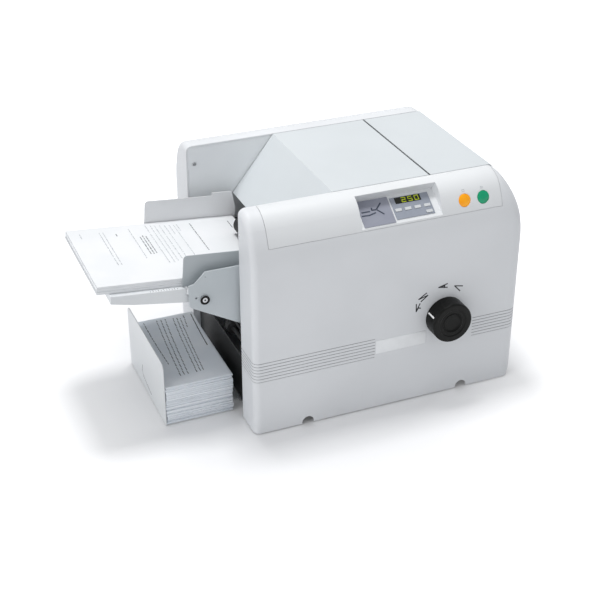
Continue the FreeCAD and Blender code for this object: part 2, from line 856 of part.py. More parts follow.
def make_control_board():
    """Circuit board behind the strip, on four posts, with a switch for each button."""
    board = block(
        "board", ("board_width", "board_thickness", "board_height"), ("board_left", "board_y", "board_low"),
    )
    back = "(board_y + board_thickness)"
    pieces = [board]
    for name, middle in (("stop", "stop_button_x"), ("start", "start_button_x")):
        size = ("switch_body", "board_y - switch_face_y", "switch_body")
        pieces.append(
            block(
                f"{name}_switch",
                size,
                (f"{middle} - switch_body / 2", "switch_face_y", "button_z - switch_body"),
            )
        )
    for column, x in enumerate(
        ("board_left + 2 * post_radius", "board_left + board_width - 2 * post_radius")
    ):
        for row, z in enumerate(
            ("board_low + 2 * post_radius", "board_low + board_height - 2 * post_radius")
        ):
            pieces.append(rod(f"post_{column}_{row}", "post_radius", f"front_frame_y - {back}", (x, back, z)))
    subpart("control_board", fused("control_board_whole", pieces))


def make_rear_cover():
    """The rear moulding, deeper than the front one, with the mains inlet and switch openings."""
    outside = cover_core("rear_outside", "0", "rear_extra")
    shell = cut("rear_moulding", outside, [cover_core("rear_inside", "cover_wall", "rear_extra")])
    rear = mirrored("rear_shell", placed(group("rear_shell_source", [shell]), 0, "-rear_extra", 0))
    bosses = cover_bosses("rear_boss", "cover_wall / 2 - rear_extra")
    rear_bosses = mirrored("rear_bosses", group("rear_boss_source", bosses))
    wall = ("rear_face - 2 * cover_wall", "4 * cover_wall")
    inlet = block(
        "inlet_opening",
        ("inlet_width + 2 * panel_clearance", wall[1], "inlet_height + 2 * panel_clearance"),
        (
            "inlet_x - inlet_width / 2 - panel_clearance",
            wall[0],
            "inlet_z - inlet_height / 2 - panel_clearance",
        ),
    )
    switch = block(
        "switch_opening",
        ("switch_width + 2 * panel_clearance", wall[1], "switch_height + 2 * panel_clearance"),
        ("inlet_x - switch_pitch - switch_width / 2 - panel_clearance", wall[0],
         "inlet_z - switch_height / 2 - panel_clearance"),
    )
    bare = cut("rear_cover_cut", rear, [inlet, switch])
    subpart("rear_cover", fused("rear_cover_whole", [bare, rear_bosses]))


def side_frame(name, limit, y, circles):
    """A side frame of sheet metal that fits inside a cover's rim."""
    blank = block(
        name + "_blank", ("body_length", "frame_thickness", "body_height - base_top"), (0, y, "base_top"),
    )
    holes = []
    for index, (x, z, radius) in enumerate(circles):
        start = (x, f"{y} - frame_thickness", z)
        holes.append(rod(f"{name}_hole_{index}", radius, "3 * frame_thickness", start))
    subpart(name, cut(name + "_plate", shared(name + "_outline", blank, limit), holes))


def shaft_places():
    """Each turning shaft that both frames carry: its name, radius, X and Z."""
    return (
        ("upper", "roller_shaft", "main_roller_x", "top_roller_z"),
        ("main", "roller_shaft", "main_roller_x", "main_roller_z"),
        ("right", "roller_shaft", "right_roller_x", "main_roller_z"),
        ("lower", "roller_shaft", "main_roller_x", "low_roller_z"),
        ("feed", "feed_shaft_radius", "feed_shaft_x", "feed_shaft_z"),
        ("delivery", "delivery_shaft", "delivery_x", "delivery_z"),
        ("pinch", "pinch_shaft", "delivery_x", "pinch_z"),
    )


def bush(name, shaft, x, z):
    """A plain bearing bush in the front frame."""
    circles = [(0, 0, f"{shaft} + bush_wall"), (0, 0, f"{shaft} + running_gap")]
    ring = padded(name, "XZ_Plane", [], "bush_length", circles)
    return placed(ring, x, "front_frame_y - (bush_length - frame_thickness) / 2", z)


def make_frames():
    """Both side frames, the bars between them, the bushes in them and their screws."""
    holes = [(x, z, f"{shaft} + bush_wall") for name, shaft, x, z in shaft_places()]
    pins = [
        ("hood_hinge_x", "hinge_z", "pin_radius + pin_clearance"),
        ("plate_hinge_x", "hinge_z", "pin_radius + pin_clearance"),
    ]
    selector = [("knob_x", "knob_z", "selector_radius + bush_wall")]
    motor = [("motor_x", "motor_z", "motor_opening")]
    limit = cover_core("frame_limit", "rim")
    side_frame("front_side_frame", limit, "front_frame_y", holes + pins + selector)
    rear_limit = mirrored("rear_frame_limit", group("rear_frame_source", [limit]))
    side_frame("rear_side_frame", rear_limit, "rear_frame_y", holes + pins + motor)

    bars = []
    for name, x, z in (
        ("low_left", "low_tie_inset", "low_tie_z"),
        ("low_right", "body_length - low_tie_inset", "low_tie_z"),
        ("high_right", "body_length - high_tie_inset", "high_tie_z"),
        ("top", "top_tie_x", "body_height - top_tie_drop"),
    ):
        bars.append(rod(f"tie_{name}", "tie_radius", "inner_width", (x, "cover_depth", z)))
    subpart("frame_tie_bars", *bars)

    bushes = [bush(f"bush_{name}", shaft, x, z) for name, shaft, x, z in shaft_places()]
    rear_bushes = mirrored("rear_bushes", group("rear_bush_source", bushes))
    knob_bush = bush("bush_selector", "selector_radius", "knob_x", "knob_z")
    subpart("shaft_bushes", *bushes, rear_bushes, knob_bush)

    screws = [
        rod("screw_top", "screw_radius", "screw_height", ("frame_screw_x", "cover_depth", "frame_screw_z")),
    ]
    for name, x, z in boss_places():
        screws.append(rod(f"screw_{name}", "screw_radius", "screw_height", (x, "cover_depth", z)))
    rear_screws = mirrored("rear_screws", group("rear_screw_source", screws))
    subpart("frame_screws", *screws, rear_screws)


def make_base():
    """Base plate with the two runners of the delivery stop, on four rubber feet."""
    plate = block(
        "base_sheet",
        ("body_length - 2 * base_end_inset", "body_depth - 2 * base_inset", "base_thickness"),
        ("base_end_inset", "base_inset", "base_z"),
    )
    side = "(half_depth - foot_sheet_width / 2)"
    over = block(
        "runner_over",
        ("runner_end - base_end_inset", "2 * runner_width", "base_z - foot_sheet_top - paper_gap"),
        ("base_end_inset", f"{side} - runner_width", "foot_sheet_top + paper_gap"),
    )
    beside = block(
        "runner_beside",
        ("runner_end - base_end_inset", "runner_width - paper_gap", "base_z - foot_sheet_z"),
        ("base_end_inset", f"{side} - runner_width", "foot_sheet_z"),
    )
    runner = fused("runner", [over, beside])
    subpart("base_plate", fused("base_plate_whole", [plate, runner, mirrored("rear_runner", runner)]))
    feet = []
    for column, x in enumerate(("foot_inset", "body_length - foot_inset")):
        for row, y in enumerate(("foot_inset", "body_depth - foot_inset")):
            feet.append(rod(f"foot_{column}_{row}", "foot_radius", "foot_height", (x, y, 0), "z"))
    subpart("rubber_feet", *feet)


# ---------------------------------------------------------------- hood and covers on top

def make_hood():
    """The folded sheet hood over the feed end, turning on two pins at its right end."""
    inner_bend = "hood_bend_x + sheet * tan(hood_slope / 2 * 1deg)"
    profile = [
        ("hood_low_x", "hood_low_z"),
        ("hood_low_x + sheet * sin(hood_slope * 1deg)", "hood_low_z - sheet * cos(hood_slope * 1deg)"),
        (inner_bend, "body_height - sheet"),
        ("seam_x", "body_height - sheet"),
        ("seam_x", "body_height"),
        ("hood_bend_x", "body_height"),
    ]
    skin = placed(padded("hood_skin", "XZ_Plane", [profile], "hood_width"), 0, "hood_y", 0)
    cheek = [
        ("hood_low_x + sheet", "hood_low_z"),
        (
            "hood_low_x + flange_depth * sin(hood_slope * 1deg)",
            "hood_low_z - flange_depth * cos(hood_slope * 1deg)",
        ),
        ("hood_bend_x + flange_depth * tan(hood_slope / 2 * 1deg)", "body_height - flange_depth"),
        ("seam_x - 2 * hinge_inset", "body_height - flange_depth"),
        ("seam_x - sheet", "body_height - flange_end"),
        ("seam_x - sheet", "body_height - sheet / 2"),
        ("hood_bend_x", "body_height - sheet / 2"),
    ]
    side = placed(padded("hood_cheek", "XZ_Plane", [cheek], "frame_thickness"), 0, "hood_y", 0)
    pin = rod(
        "hood_pin",
        "pin_radius",
        "side_gap + 2 * frame_thickness",
        ("hood_hinge_x", "front_frame_y", "hinge_z"),
    )
    pieces = [skin, side, pin, mirrored("hood_far_cheek", side), mirrored("hood_far_pin", pin)]
    subpart("feed_hood", fused("hood_whole", pieces))


def make_plate_cover():
    """The flat cover over the upper fold plate, turning on two pins at its right end."""
    lid = block("lid_skin", ("plate_cover_end - plate_cover_x", "hood_width", "sheet"),
                ("plate_cover_x", "hood_y", "body_height - sheet"))
    cheek = [
        ("plate_cover_x", "body_height - flange_depth"),
        ("plate_cover_end - 2 * hinge_inset", "body_height - flange_depth"),
        ("plate_cover_end - sheet", "body_height - flange_end"),
        ("plate_cover_end - sheet", "body_height - sheet / 2"),
        ("plate_cover_x", "body_height - sheet / 2"),
    ]
    side = placed(padded("lid_cheek", "XZ_Plane", [cheek], "frame_thickness"), 0, "hood_y", 0)
    pin = rod(
        "lid_pin",
        "pin_radius",
        "side_gap + 2 * frame_thickness",
        ("plate_hinge_x", "front_frame_y", "hinge_z"),
    )
    pieces = [lid, side, pin, mirrored("lid_far_cheek", side), mirrored("lid_far_pin", pin)]
    subpart("plate_cover", fused("lid_whole", pieces))


def make_end_cover():
    """The curved cover at the closed end, with cooling louvres and four fixing tabs."""
    start = "(end_top_x + end_cover_gap)"
    inner_radius = "(end_radius - cover_wall)"
    profile = [
        ("body_length - cover_wall", "floor_gap"),
        ("body_length", "floor_gap"),
        ("body_length", "end_start", "end_radius", 1),
        (start, f"end_start + sqrt(end_radius ^ 2 - ({start} - end_centre_x) ^ 2)"),
        (start, f"end_start + sqrt({inner_radius} ^ 2 - ({start} - end_centre_x) ^ 2)", inner_radius, -1),
        ("body_length - cover_wall", "end_start"),
    ]
    skin = placed(padded("end_skin", "XZ_Plane", [profile], "inner_width - 2 * rim_clearance"),
                  0, "cover_depth + rim_clearance", 0)
    slots = []
    for index in range(int(number("louvre_count"))):
        slots.append(block(
            f"louvre_{index}",
            ("3 * cover_wall", "louvre_length", "louvre_slot"),
            (
                "body_length - 2 * cover_wall",
                "half_depth - louvre_length / 2",
                f"louvre_low + {index} * louvre_pitch",
            ),
        ))
    tabs = []
    for name, z in (("low", "louvre_low"), ("high", "end_start - 3 * tab_height")):
        tabs.append(block(
            f"end_tab_{name}",
            ("tab_reach", "frame_thickness", "tab_height"),
            ("body_length - cover_wall / 2 - tab_reach", "cover_depth", z),
        ))
    far = [mirrored(tab.Name + "_far", tab) for tab in tabs]
    subpart("end_cover", fused("end_cover_whole", [cut("end_cut", skin, slots)] + tabs + far))


# ---------------------------------------------------------------- feed table

def on_table(name, *pieces):
    """Tilt pieces drawn about the hinge bolt's axis: X down the table, Z off it."""
    return placed(group(name, list(pieces)), "pivot_x", 0, "pivot_z", (0, 1, 0), "table_tilt")


def make_brackets():
    """The two sheet brackets that carry the table, each with its hinge bolt."""
    outline = [
        ("bracket_inside", "pivot_z - bracket_heel"),
        ("bracket_inside", "pivot_z + bracket_top"),
        ("pivot_x + bracket_top_reach", "pivot_z + bracket_top"),
        ("pivot_x - bracket_shoulder_reach", "pivot_z + bracket_shoulder"),
        ("pivot_x - bracket_nose", "pivot_z + bracket_shoulder - bracket_top_reach"),
        ("pivot_x - bracket_nose", "pivot_z - bracket_nose_low"),
        ("pivot_x - bracket_chin_reach", "pivot_z - bracket_chin"),
        (0, "pivot_z - bracket_heel"),
    ]
    circles = [
        ("pivot_x", "pivot_z", "pivot_radius + running_gap"),
        ("pivot_x - latch_reach", "pivot_z + latch_rise", "latch_radius"),
        ("pivot_x + bracket_top_reach", "pivot_z + bracket_top - 2 * latch_rise", "latch_radius / 2"),
    ]
    plate = placed(
        padded("bracket_plate", "XZ_Plane", [outline], "bracket_sheet", circles), 0, "bracket_y", 0,
    )
    spacers = []
    for name, z in (("low", "pivot_z - bracket_heel / 2"), ("high", "pivot_z + bracket_top / 2")):
        spacers.append(
            rod(
                f"spacer_{name}",
                "spacer_radius",
                "bracket_y - cover_depth",
                ("bracket_inside / 2", "cover_depth", z),
            )
        )
    front = fused("bracket_whole", [plate] + spacers)
    subpart("front_feed_bracket", front)
    subpart("rear_feed_bracket", mirrored("rear_bracket", front))

    head = rod(
        "bolt_head", "bolt_head", "bolt_head_height", ("pivot_x", "bracket_y - bolt_head_height", "pivot_z"),
    )
    shank_end = "(extension_y + table_sheet + extension_gap)"
    shank = rod("bolt_shank", "pivot_radius", f"{shank_end} - bracket_y", ("pivot_x", "bracket_y", "pivot_z"))
    nut = rod(
        "bolt_nut", "nut_radius", "nut_height", ("pivot_x", f"{shank_end} - extension_gap / 2", "pivot_z"),
    )
    bolt = fused("bolt_whole", [head, shank, nut])
    subpart("hinge_bolts", bolt, mirrored("rear_bolt", bolt))


def make_table():
    """The fixed feed table between the brackets, slotted across for the side guides."""
    top = block(
        "table_top",
        ("table_start + table_end", "table_width", "table_sheet"),
        ("-table_start", "table_y", "table_lift - table_sheet"),
    )
    slots = []
    for name in ("tab_first", "tab_second"):
        near = block(
            f"{name}_slot",
            (
                "tab_width + 2 * tab_slot_gap",
                "guide_travel + guide_sheet + tab_slot_reach",
                "3 * table_sheet",
            ),
            (
                f"{name} - guide_left - tab_slot_gap",
                "guide_y - guide_travel - tab_slot_gap",
                "table_lift - 2 * table_sheet",
            ),
        )
        slots += [near, mirrored(f"{name}_far_slot", near)]
    subpart("feed_table", on_table("table_place", cut("table_cut", top, slots)))


def make_extension():
    """The outer flap of the feed table, hinged on the two bolts."""
    low_side = "(table_lift - table_sheet)"
    cheek = [
        ("-extension_reach", low_side),
        ("-extension_reach", f"{low_side} - extension_lip"),
        ("-extension_reach + extension_keel_start", f"{low_side} - extension_keel"),
        (0, "-hinge_arm", "hinge_arm", 1),
        ("hinge_arm", 0, "hinge_arm", 1),
        (0, "hinge_arm"),
        ("-table_start - extension_gap", "hinge_arm"),
        ("-table_start - extension_gap", low_side),
    ]
    circles = [(0, 0, "pivot_radius + running_gap")]
    side = placed(padded("extension_cheek", "XZ_Plane", [cheek], "table_sheet", circles), 0, "extension_y", 0)
    flap_length = "(extension_reach - table_start - extension_gap)"
    flap = block(
        "extension_flap",
        (flap_length, "extension_width", "table_sheet"),
        ("-extension_reach", "extension_y", low_side),
    )
    lip = block("extension_lip", ("table_sheet", "extension_width", "extension_lip + table_sheet / 2"),
                ("-extension_reach", "extension_y", f"{low_side} - extension_lip"))
    whole = fused("extension_whole", [side, mirrored("extension_far_cheek", side), flap, lip])
    subpart("table_extension", on_table("extension_place", whole))


def make_guides():
    """The near and far side guides, each with two tabs and a foot under the table."""
    low = "(table_lift + paper_gap)"
    left = "-guide_left"
    right = "(guide_length - guide_left)"
    step = "(guide_step - guide_left)"
    outline = [
        (left, low),
        (right, low),
        (right, f"{low} + guide_end_rise"),
        (f"{right} - guide_end_slope", "guide_step_top - guide_round / 2", "guide_round / 2", 1),
        (f"{right} - guide_end_slope - guide_round / 2", "guide_step_top"),
        (f"{step} + tab_slot_gap", "guide_step_top"),
        (step, "guide_top"),
        (f"{left} + guide_round", "guide_top", "guide_round", 1),
        (left, "guide_top - guide_round"),
    ]
    plate = placed(padded("guide_plate", "XZ_Plane", [outline], "guide_sheet"), 0, "guide_y", 0)
    foot_top = "(table_lift - table_sheet - paper_gap)"
    pieces = [plate]
    for name in ("tab_first", "tab_second"):
        pieces.append(block(
            f"guide_{name}",
            ("tab_width", "guide_sheet", f"{low} - {foot_top} + paper_gap"),
            (f"{name} - guide_left", "guide_y", f"{foot_top} - paper_gap / 2"),
        ))
    pieces.append(block(
        "guide_foot",
        ("tab_second - tab_first + tab_width", "guide_foot", "guide_foot_sheet"),
        ("tab_first - guide_left", "guide_y", f"{foot_top} - guide_foot_sheet"),
    ))
    near = fused("guide_whole", pieces)
    subpart("near_side_guide", on_table("near_guide_place", near))
    subpart("far_side_guide", on_table("far_guide_place", mirrored("far_guide", near)))


def make_paper():
    """The stack that waits on the table and the folded pile at the delivery stop."""
    stack = block(
        "stack",
        ("paper_length", "paper_width", "stack_height"),
        ("stack_left", "paper_y", "table_lift + paper_gap"),
    )
    subpart("feed_paper_stack", on_table("stack_place", stack))
    pile = block(
        "pile",
        ("pile_length", "paper_width", "pile_height"),
        ("stop_x + paper_gap", "paper_y", "foot_sheet_top + paper_gap"),
    )
    subpart("folded_paper_stack", pile)


# ---------------------------------------------------------------- rollers and drive

def gear(name, teeth, pitch_radius, bore, x, z, phase):
    """A spur gear: a disc, one tooth and the tooth repeated round it."""
    root = f"({pitch_radius} - tooth_in)"
    body = padded(name, "XZ_Plane", [], "gear_width", [(0, 0, root), (0, 0, bore)])
    doc.recompute()
    root_half = "(tooth_half + tooth_in / 4)"
    tip_half = "(tooth_half - tooth_out / 3)"
    outline = [
        (f"{root} - tooth_half", f"-{root_half}"),
        (f"{pitch_radius} + tooth_out", f"-{tip_half}"),
        (f"{pitch_radius} + tooth_out", tip_half),
        (f"{root} - tooth_half", root_half),
    ]
    tooth = body.newObject("PartDesign::Pad", name + "_tooth")
    tooth.Profile = body_sketch(body, "XZ_Plane", [outline])
    tooth.Reversed = True
    tooth.setExpression("Length", bound("gear_width"))
    pattern = body.newObject("PartDesign::PolarPattern", name + "_teeth")
    pattern.Originals = [tooth]
    upright = [item for item in body.Origin.OriginFeatures if item.Role == "Y_Axis"][0]
    pattern.Axis = (upright, [""])
    pattern.Angle = 360
    pattern.setExpression("Occurrences", bound(teeth))
    body.Tip = pattern
    return placed(body, x, "gear_y", z, (0, 1, 0), phase)


def pulley(name, radius, bore, x, z):
    """A plain belt pulley on a shaft."""
    ring = padded(name, "XZ_Plane", [], "pulley_width", [(0, 0, radius), (0, 0, bore)])
    return placed(ring, x, "pulley_y", z)


def shaft(name, radius, x, z, end):
    """A shaft from just in front of the front frame to a given Y."""
    start = "(front_frame_y - shaft_end)"
    return rod(name, radius, f"{end} - {start}", (x, start, z))


def make_fold_rollers():
    """Four fold rollers, meshed through the gears on their rear ends."""
    gear_end = "(gear_y + gear_width)"
    pulley_end = "(pulley_y + pulley_width)"
    half_tooth = "180 / teeth"
    rows = (
        ("upper_fold_roller", "main_roller_x", "top_roller_z", half_tooth, "upper_pulley"),
        ("main_fold_roller", "main_roller_x", "main_roller_z", 0, "main_pulley"),
        ("right_fold_roller", "right_roller_x", "main_roller_z", half_tooth, None),
        ("lower_fold_roller", "main_roller_x", "low_roller_z", half_tooth, "take_off_pulley"),
    )
    for name, x, z, phase, wheel in rows:
        core = shaft(name + "_shaft", "roller_shaft", x, z, pulley_end if wheel else gear_end)
        cover = rod(
            name + "_rubber",
            "fold_radius",
            "inner_width - 2 * roller_side_gap",
            (x, "cover_depth + roller_side_gap", z),
        )
        pieces = [
            fused(name + "_core", [core, cover]),
            gear(name + "_gear", "teeth", "roller_pitch / 2", "roller_shaft", x, z, phase),
        ]
        if wheel:
            pieces.append(pulley(name + "_pulley", wheel, "roller_shaft", x, z))
        subpart(name, *pieces)


def make_feed_drive():
    """Feed shaft, the swinging arm on it, the feed roller in the arm and their belt."""
    x, z = "feed_shaft_x", "feed_shaft_z"
    core = shaft("feed_core", "feed_shaft_radius", x, z, "(pulley_y + pulley_width)")
    hub_y = "(half_depth - hub_width / 2)"
    hub = rod("feed_hub", "hub_radius", "hub_width", (x, hub_y, z))
    wheel = pulley("feed_wheel", "feed_pulley", "feed_shaft_radius", x, z)
    subpart("feed_shaft", fused("feed_shaft_whole", [core, hub]), wheel)

    reach = "feed_arm_length"
    outline = [
        (f"-{reach}", "-arm_half"),
        (0, "-2 * arm_half", "2 * arm_half", 1),
        ("2 * arm_half", 0, "2 * arm_half", 1),
        (0, "2 * arm_half"),
        (f"-{reach}", "arm_half", "arm_half", 1),
        (f"-{reach} - arm_half", 0, "arm_half", 1),
    ]
    circles = [(0, 0, "feed_shaft_radius + running_gap"), (f"-{reach}", 0, "feed_axle + running_gap")]
    side_y = "(half_depth - feed_roller_width / 2 - arm_gap - arm_sheet)"
    side = placed(padded("arm_side", "XZ_Plane", [outline], "arm_sheet", circles), 0, side_y, 0)
    spacer = rod("arm_spacer", "arm_half / 2", "feed_roller_width + 2 * arm_gap + arm_sheet",
                 (f"-{reach} / 2 + arm_half / 2", f"{side_y} + arm_sheet / 2", 0))
    arm = fused("arm_whole", [side, mirrored("arm_far_side", side), spacer])
    subpart("feed_arm", placed(group("arm_place", [arm]), x, 0, z, (0, -1, 0), "feed_arm_slope"))

    tyre = rod("feed_tyre", "feed_roller_radius", "(feed_roller_width - hub_width) / 2",
               ("feed_roller_x", "half_depth - feed_roller_width / 2", "feed_roller_z"))
    middle = rod("feed_middle", "hub_radius", "hub_width", ("feed_roller_x", hub_y, "feed_roller_z"))
    axle = rod("feed_axle_rod", "feed_axle", "feed_roller_width + 2 * arm_gap + 2 * arm_sheet",
               ("feed_roller_x", side_y, "feed_roller_z"))
    subpart("feed_roller", fused("feed_roller_whole", [tyre, mirrored("feed_far_tyre", tyre), middle, axle]))
    subpart("feed_arm_belt", belt("arm_belt_loop", "hub_radius", "hub_radius", "feed_arm_length", x, z,
                                  "180 - feed_arm_slope", f"{hub_y} + belt_gap"))


def wheels_on_shaft(name, radius, core, x, z):
    """Three narrow wheels on one shaft."""
    pieces = [core]
    for index in range(3):
        start = f"half_depth + {index - 1} * wheel_pitch - wheel_width / 2"
        pieces.append(rod(f"{name}_wheel_{index}", radius, "wheel_width", (x, start, z)))
    return fused(name, pieces)


def make_delivery_rollers():
    """The driven delivery shaft and the pinch shaft above it."""
    x = "delivery_x"
    core = shaft("delivery_core", "delivery_shaft", x, "delivery_z", "(pulley_y + pulley_width)")
    driven = wheels_on_shaft("delivery_wheels", "delivery_radius", core, x, "delivery_z")
    subpart(
        "delivery_roller",
        driven,
        pulley("delivery_wheel_pulley", "delivery_pulley", "delivery_shaft", x, "delivery_z"),
    )
    idle = shaft("pinch_core", "pinch_shaft", x, "pinch_z", "(body_depth - front_frame_y + shaft_end)")
    subpart("pinch_roller", wheels_on_shaft("pinch_wheels", "pinch_radius", idle, x, "pinch_z"))


def belt(name, first, second, length, x, z, slope, y="pulley_y + belt_gap"):
    """A flat belt round two pulleys, its first pulley at the local origin."""
    loops = []
    for extra in ("belt_gap + belt_thickness", "belt_gap"):
        near = f"({first} + {extra})"
        far = f"({second} + {extra})"
        lean = f"(({near} - {far}) / {length})"
        rise = f"sqrt(1 - {lean} ^ 2)"
        loops.append([
            (f"{near} * {lean}", f"-{near} * {rise}"),
            (f"{length} + {far} * {lean}", f"-{far} * {rise}", far, 1),
            (f"{length} + {far}", 0, far, 1),
            (f"{length} + {far} * {lean}", f"{far} * {rise}"),
            (f"{near} * {lean}", f"{near} * {rise}", near, 1),
            (f"-{near}", 0, near, 1),
        ])
    ring = padded(name, "XZ_Plane", loops, "pulley_width - 2 * belt_gap")
    return placed(ring, x, y, z, (0, 1, 0), slope)


def make_drive():
    """Motor, its shaft and the three belts behind the rear frame."""
    can = rod(
        "motor_can", "motor_radius", "motor_length", ("motor_x", "rear_frame_y - motor_length", "motor_z"),
    )
    bore = rod("motor_bore", "motor_shaft_radius + running_gap", "motor_length",
               ("motor_x", "rear_frame_y - motor_length + motor_opening", "motor_z"))
    foot = block(
        "motor_foot",
        ("2 * motor_radius", "motor_length / 2", "motor_z - motor_radius - base_top + motor_opening"),
        ("motor_x - motor_radius", "rear_frame_y - motor_length", "base_top"),
    )
    subpart("drive_motor", cut("motor_cut", fused("motor_whole", [can, foot]), [bore]))
    core_start = "(rear_frame_y - motor_length + 2 * motor_opening)"
    core = rod(
        "motor_core",
        "motor_shaft_radius",
        f"pulley_y + pulley_width - {core_start}",
        ("motor_x", core_start, "motor_z"),
    )
    subpart(
        "motor_shaft",
        core,
        pulley("motor_wheel", "motor_pulley_radius", "motor_shaft_radius", "motor_x", "motor_z"),
    )
    subpart(
        "drive_belts",
        belt("motor_belt_loop", "main_pulley", "motor_pulley_radius", "main_belt_length",
             "main_roller_x", "main_roller_z", "main_belt_slope"),
        belt("delivery_belt_loop", "take_off_pulley", "delivery_pulley", "exit_belt_length",
             "main_roller_x", "low_roller_z", "exit_belt_slope"),
        belt("feed_belt_loop", "upper_pulley", "feed_pulley", "feed_shaft_reach",
             "main_roller_x", "top_roller_z", "180 + feed_shaft_angle"),
    )


# ---------------------------------------------------------------- paper path and delivery

def fold_plate(side_name, axis):
    """A pocket of two sheets with an end bar, and the stop that slides in it."""
    name = side_name + "_fold_plate"
    x, z, slope, length = [f"{side_name}_plate_{part}" for part in ("x", "z", "slope", "length")]
    top = "(plate_gap + plate_sheet)"
    lower = block(name + "_lower", (length, "inner_width", "plate_sheet"), (0, "cover_depth", "-plate_sheet"))
    upper = block(name + "_upper", (length, "inner_width", "plate_sheet"), (0, "cover_depth", "plate_gap"))
    end = block(name + "_end", ("2 * plate_sheet", "inner_width", "plate_gap + 2 * plate_sheet"),
                (f"{length} - 2 * plate_sheet", "cover_depth", "-plate_sheet"))
    slots = []
    tabs = []
    for side in (-1, 1):
        middle = f"half_depth + {side} * stop_slot_pitch / 2"
        slots.append(block(
            f"{name}_slot_{side + 1}",
            ("stop_slot", "stop_slot_width", "3 * plate_sheet"),
            ("stop_slot_inset", f"{middle} - stop_slot_width / 2", "plate_gap - plate_sheet"),
        ))
        tabs.append(block(
            f"{name}_tab_{side + 1}",
            ("stop_bar", "stop_slot_width - 2 * tab_slot_gap", f"{top} + plate_gap"),
            (
                "stop_slot_inset + stop_bar",
                f"{middle} - stop_slot_width / 2 + tab_slot_gap",
                "(plate_gap - stop_thickness) / 2",
            ),
        ))
    pocket = cut(name + "_cut", fused(name + "_whole", [lower, upper, end]), slots)
    bar = block(
        name + "_bar",
        ("stop_bar", "inner_width - 2 * roller_side_gap", "stop_thickness"),
        ("stop_slot_inset + stop_bar", "cover_depth + roller_side_gap", "(plate_gap - stop_thickness) / 2"),
    )
    bridge = block(
        name + "_bridge",
        ("stop_bar", "stop_slot_pitch + stop_slot_width", "stop_thickness"),
        (
            "stop_slot_inset + stop_bar",
            "half_depth - (stop_slot_pitch + stop_slot_width) / 2",
            f"{top} + plate_gap - stop_thickness / 2",
        ),
    )
    stop = fused(name + "_stop", [bar, bridge] + tabs)
    subpart(name, placed(group(name + "_place", [pocket]), x, 0, z, axis, slope))
    subpart(side_name + "_fold_stop", placed(group(name + "_stop_place", [stop]), x, 0, z, axis, slope))


def make_paper_path():
    """Separator pad, ramp, fold plates, exit chute and the wall of the delivery bay."""
    ramp_drop = "(table_end_z - plate_sheet - ramp_end_z)"
    ramp_run = "(ramp_end_x - table_end_x - plate_gap)"
    ramp = block("ramp_sheet", (f"sqrt({ramp_run} ^ 2 + {ramp_drop} ^ 2)", "inner_width", "plate_sheet"),
                 (0, "cover_depth", "-plate_sheet"))
    ramp_place = placed(
        group("ramp_place", [ramp]), "table_end_x + plate_gap", 0, "table_end_z - plate_sheet",
        (0, 1, 0), f"atan({ramp_drop} / {ramp_run}) / 1deg",
    )
    subpart("feed_ramp", ramp_place)
    pad = block("pad_block", ("separator_length", "separator_width", "separator_height"),
                ("separator_x", "half_depth - separator_width / 2", "table_end_z - plate_sheet + paper_gap"))
    subpart("separator_pad", pad)
    fold_plate("upper", (0, -1, 0))
    fold_plate("lower", (0, 1, 0))
    run = "(chute_top_x - chute_low_x)"
    rise = "(chute_top_z - chute_low_z)"
    chute = block(
        "chute_sheet",
        (f"sqrt({run} ^ 2 + {rise} ^ 2)", "inner_width", "plate_sheet"),
        (0, "cover_depth", 0),
    )
    subpart("delivery_chute", placed(group("chute_place", [chute]), "chute_low_x", 0, "chute_low_z",
                                     (0, -1, 0), f"atan({rise} / {run}) / 1deg"))
    subpart("bay_wall", block("bay_sheet", ("plate_sheet", "inner_width", "wall_top - base_top"),
                              ("wall_x", "cover_depth", "base_top")))


def make_delivery_stop():
    """The upright stop plate on the long sheet that slides under the machine."""
    far = "(paper_y + paper_width)"
    top = "(foot_sheet_z + stop_plate_height)"
    outline = [
        ("paper_y", "foot_sheet_z"),
        (far, "foot_sheet_z"),
        (far, f"{top} - stop_round", "stop_round", 1),
        (f"{far} - stop_round", top),
        ("paper_y + stop_round", top, "stop_round", 1),
        ("paper_y", f"{top} - stop_round"),
    ]
    plate = placed(
        padded("stop_plate", "YZ_Plane", [outline], "stop_plate_sheet"), "stop_x - stop_plate_sheet", 0, 0,
    )
    foot_start = "(stop_x - stop_plate_sheet / 2)"
    foot = block(
        "stop_foot",
        (f"foot_sheet_end - {foot_start}", "foot_sheet_width", "foot_sheet"),
        (foot_start, "half_depth - foot_sheet_width / 2", "foot_sheet_z"),
    )
    subpart("delivery_stop", fused("stop_whole", [plate, foot]))


# ---------------------------------------------------------------- selector and mains parts

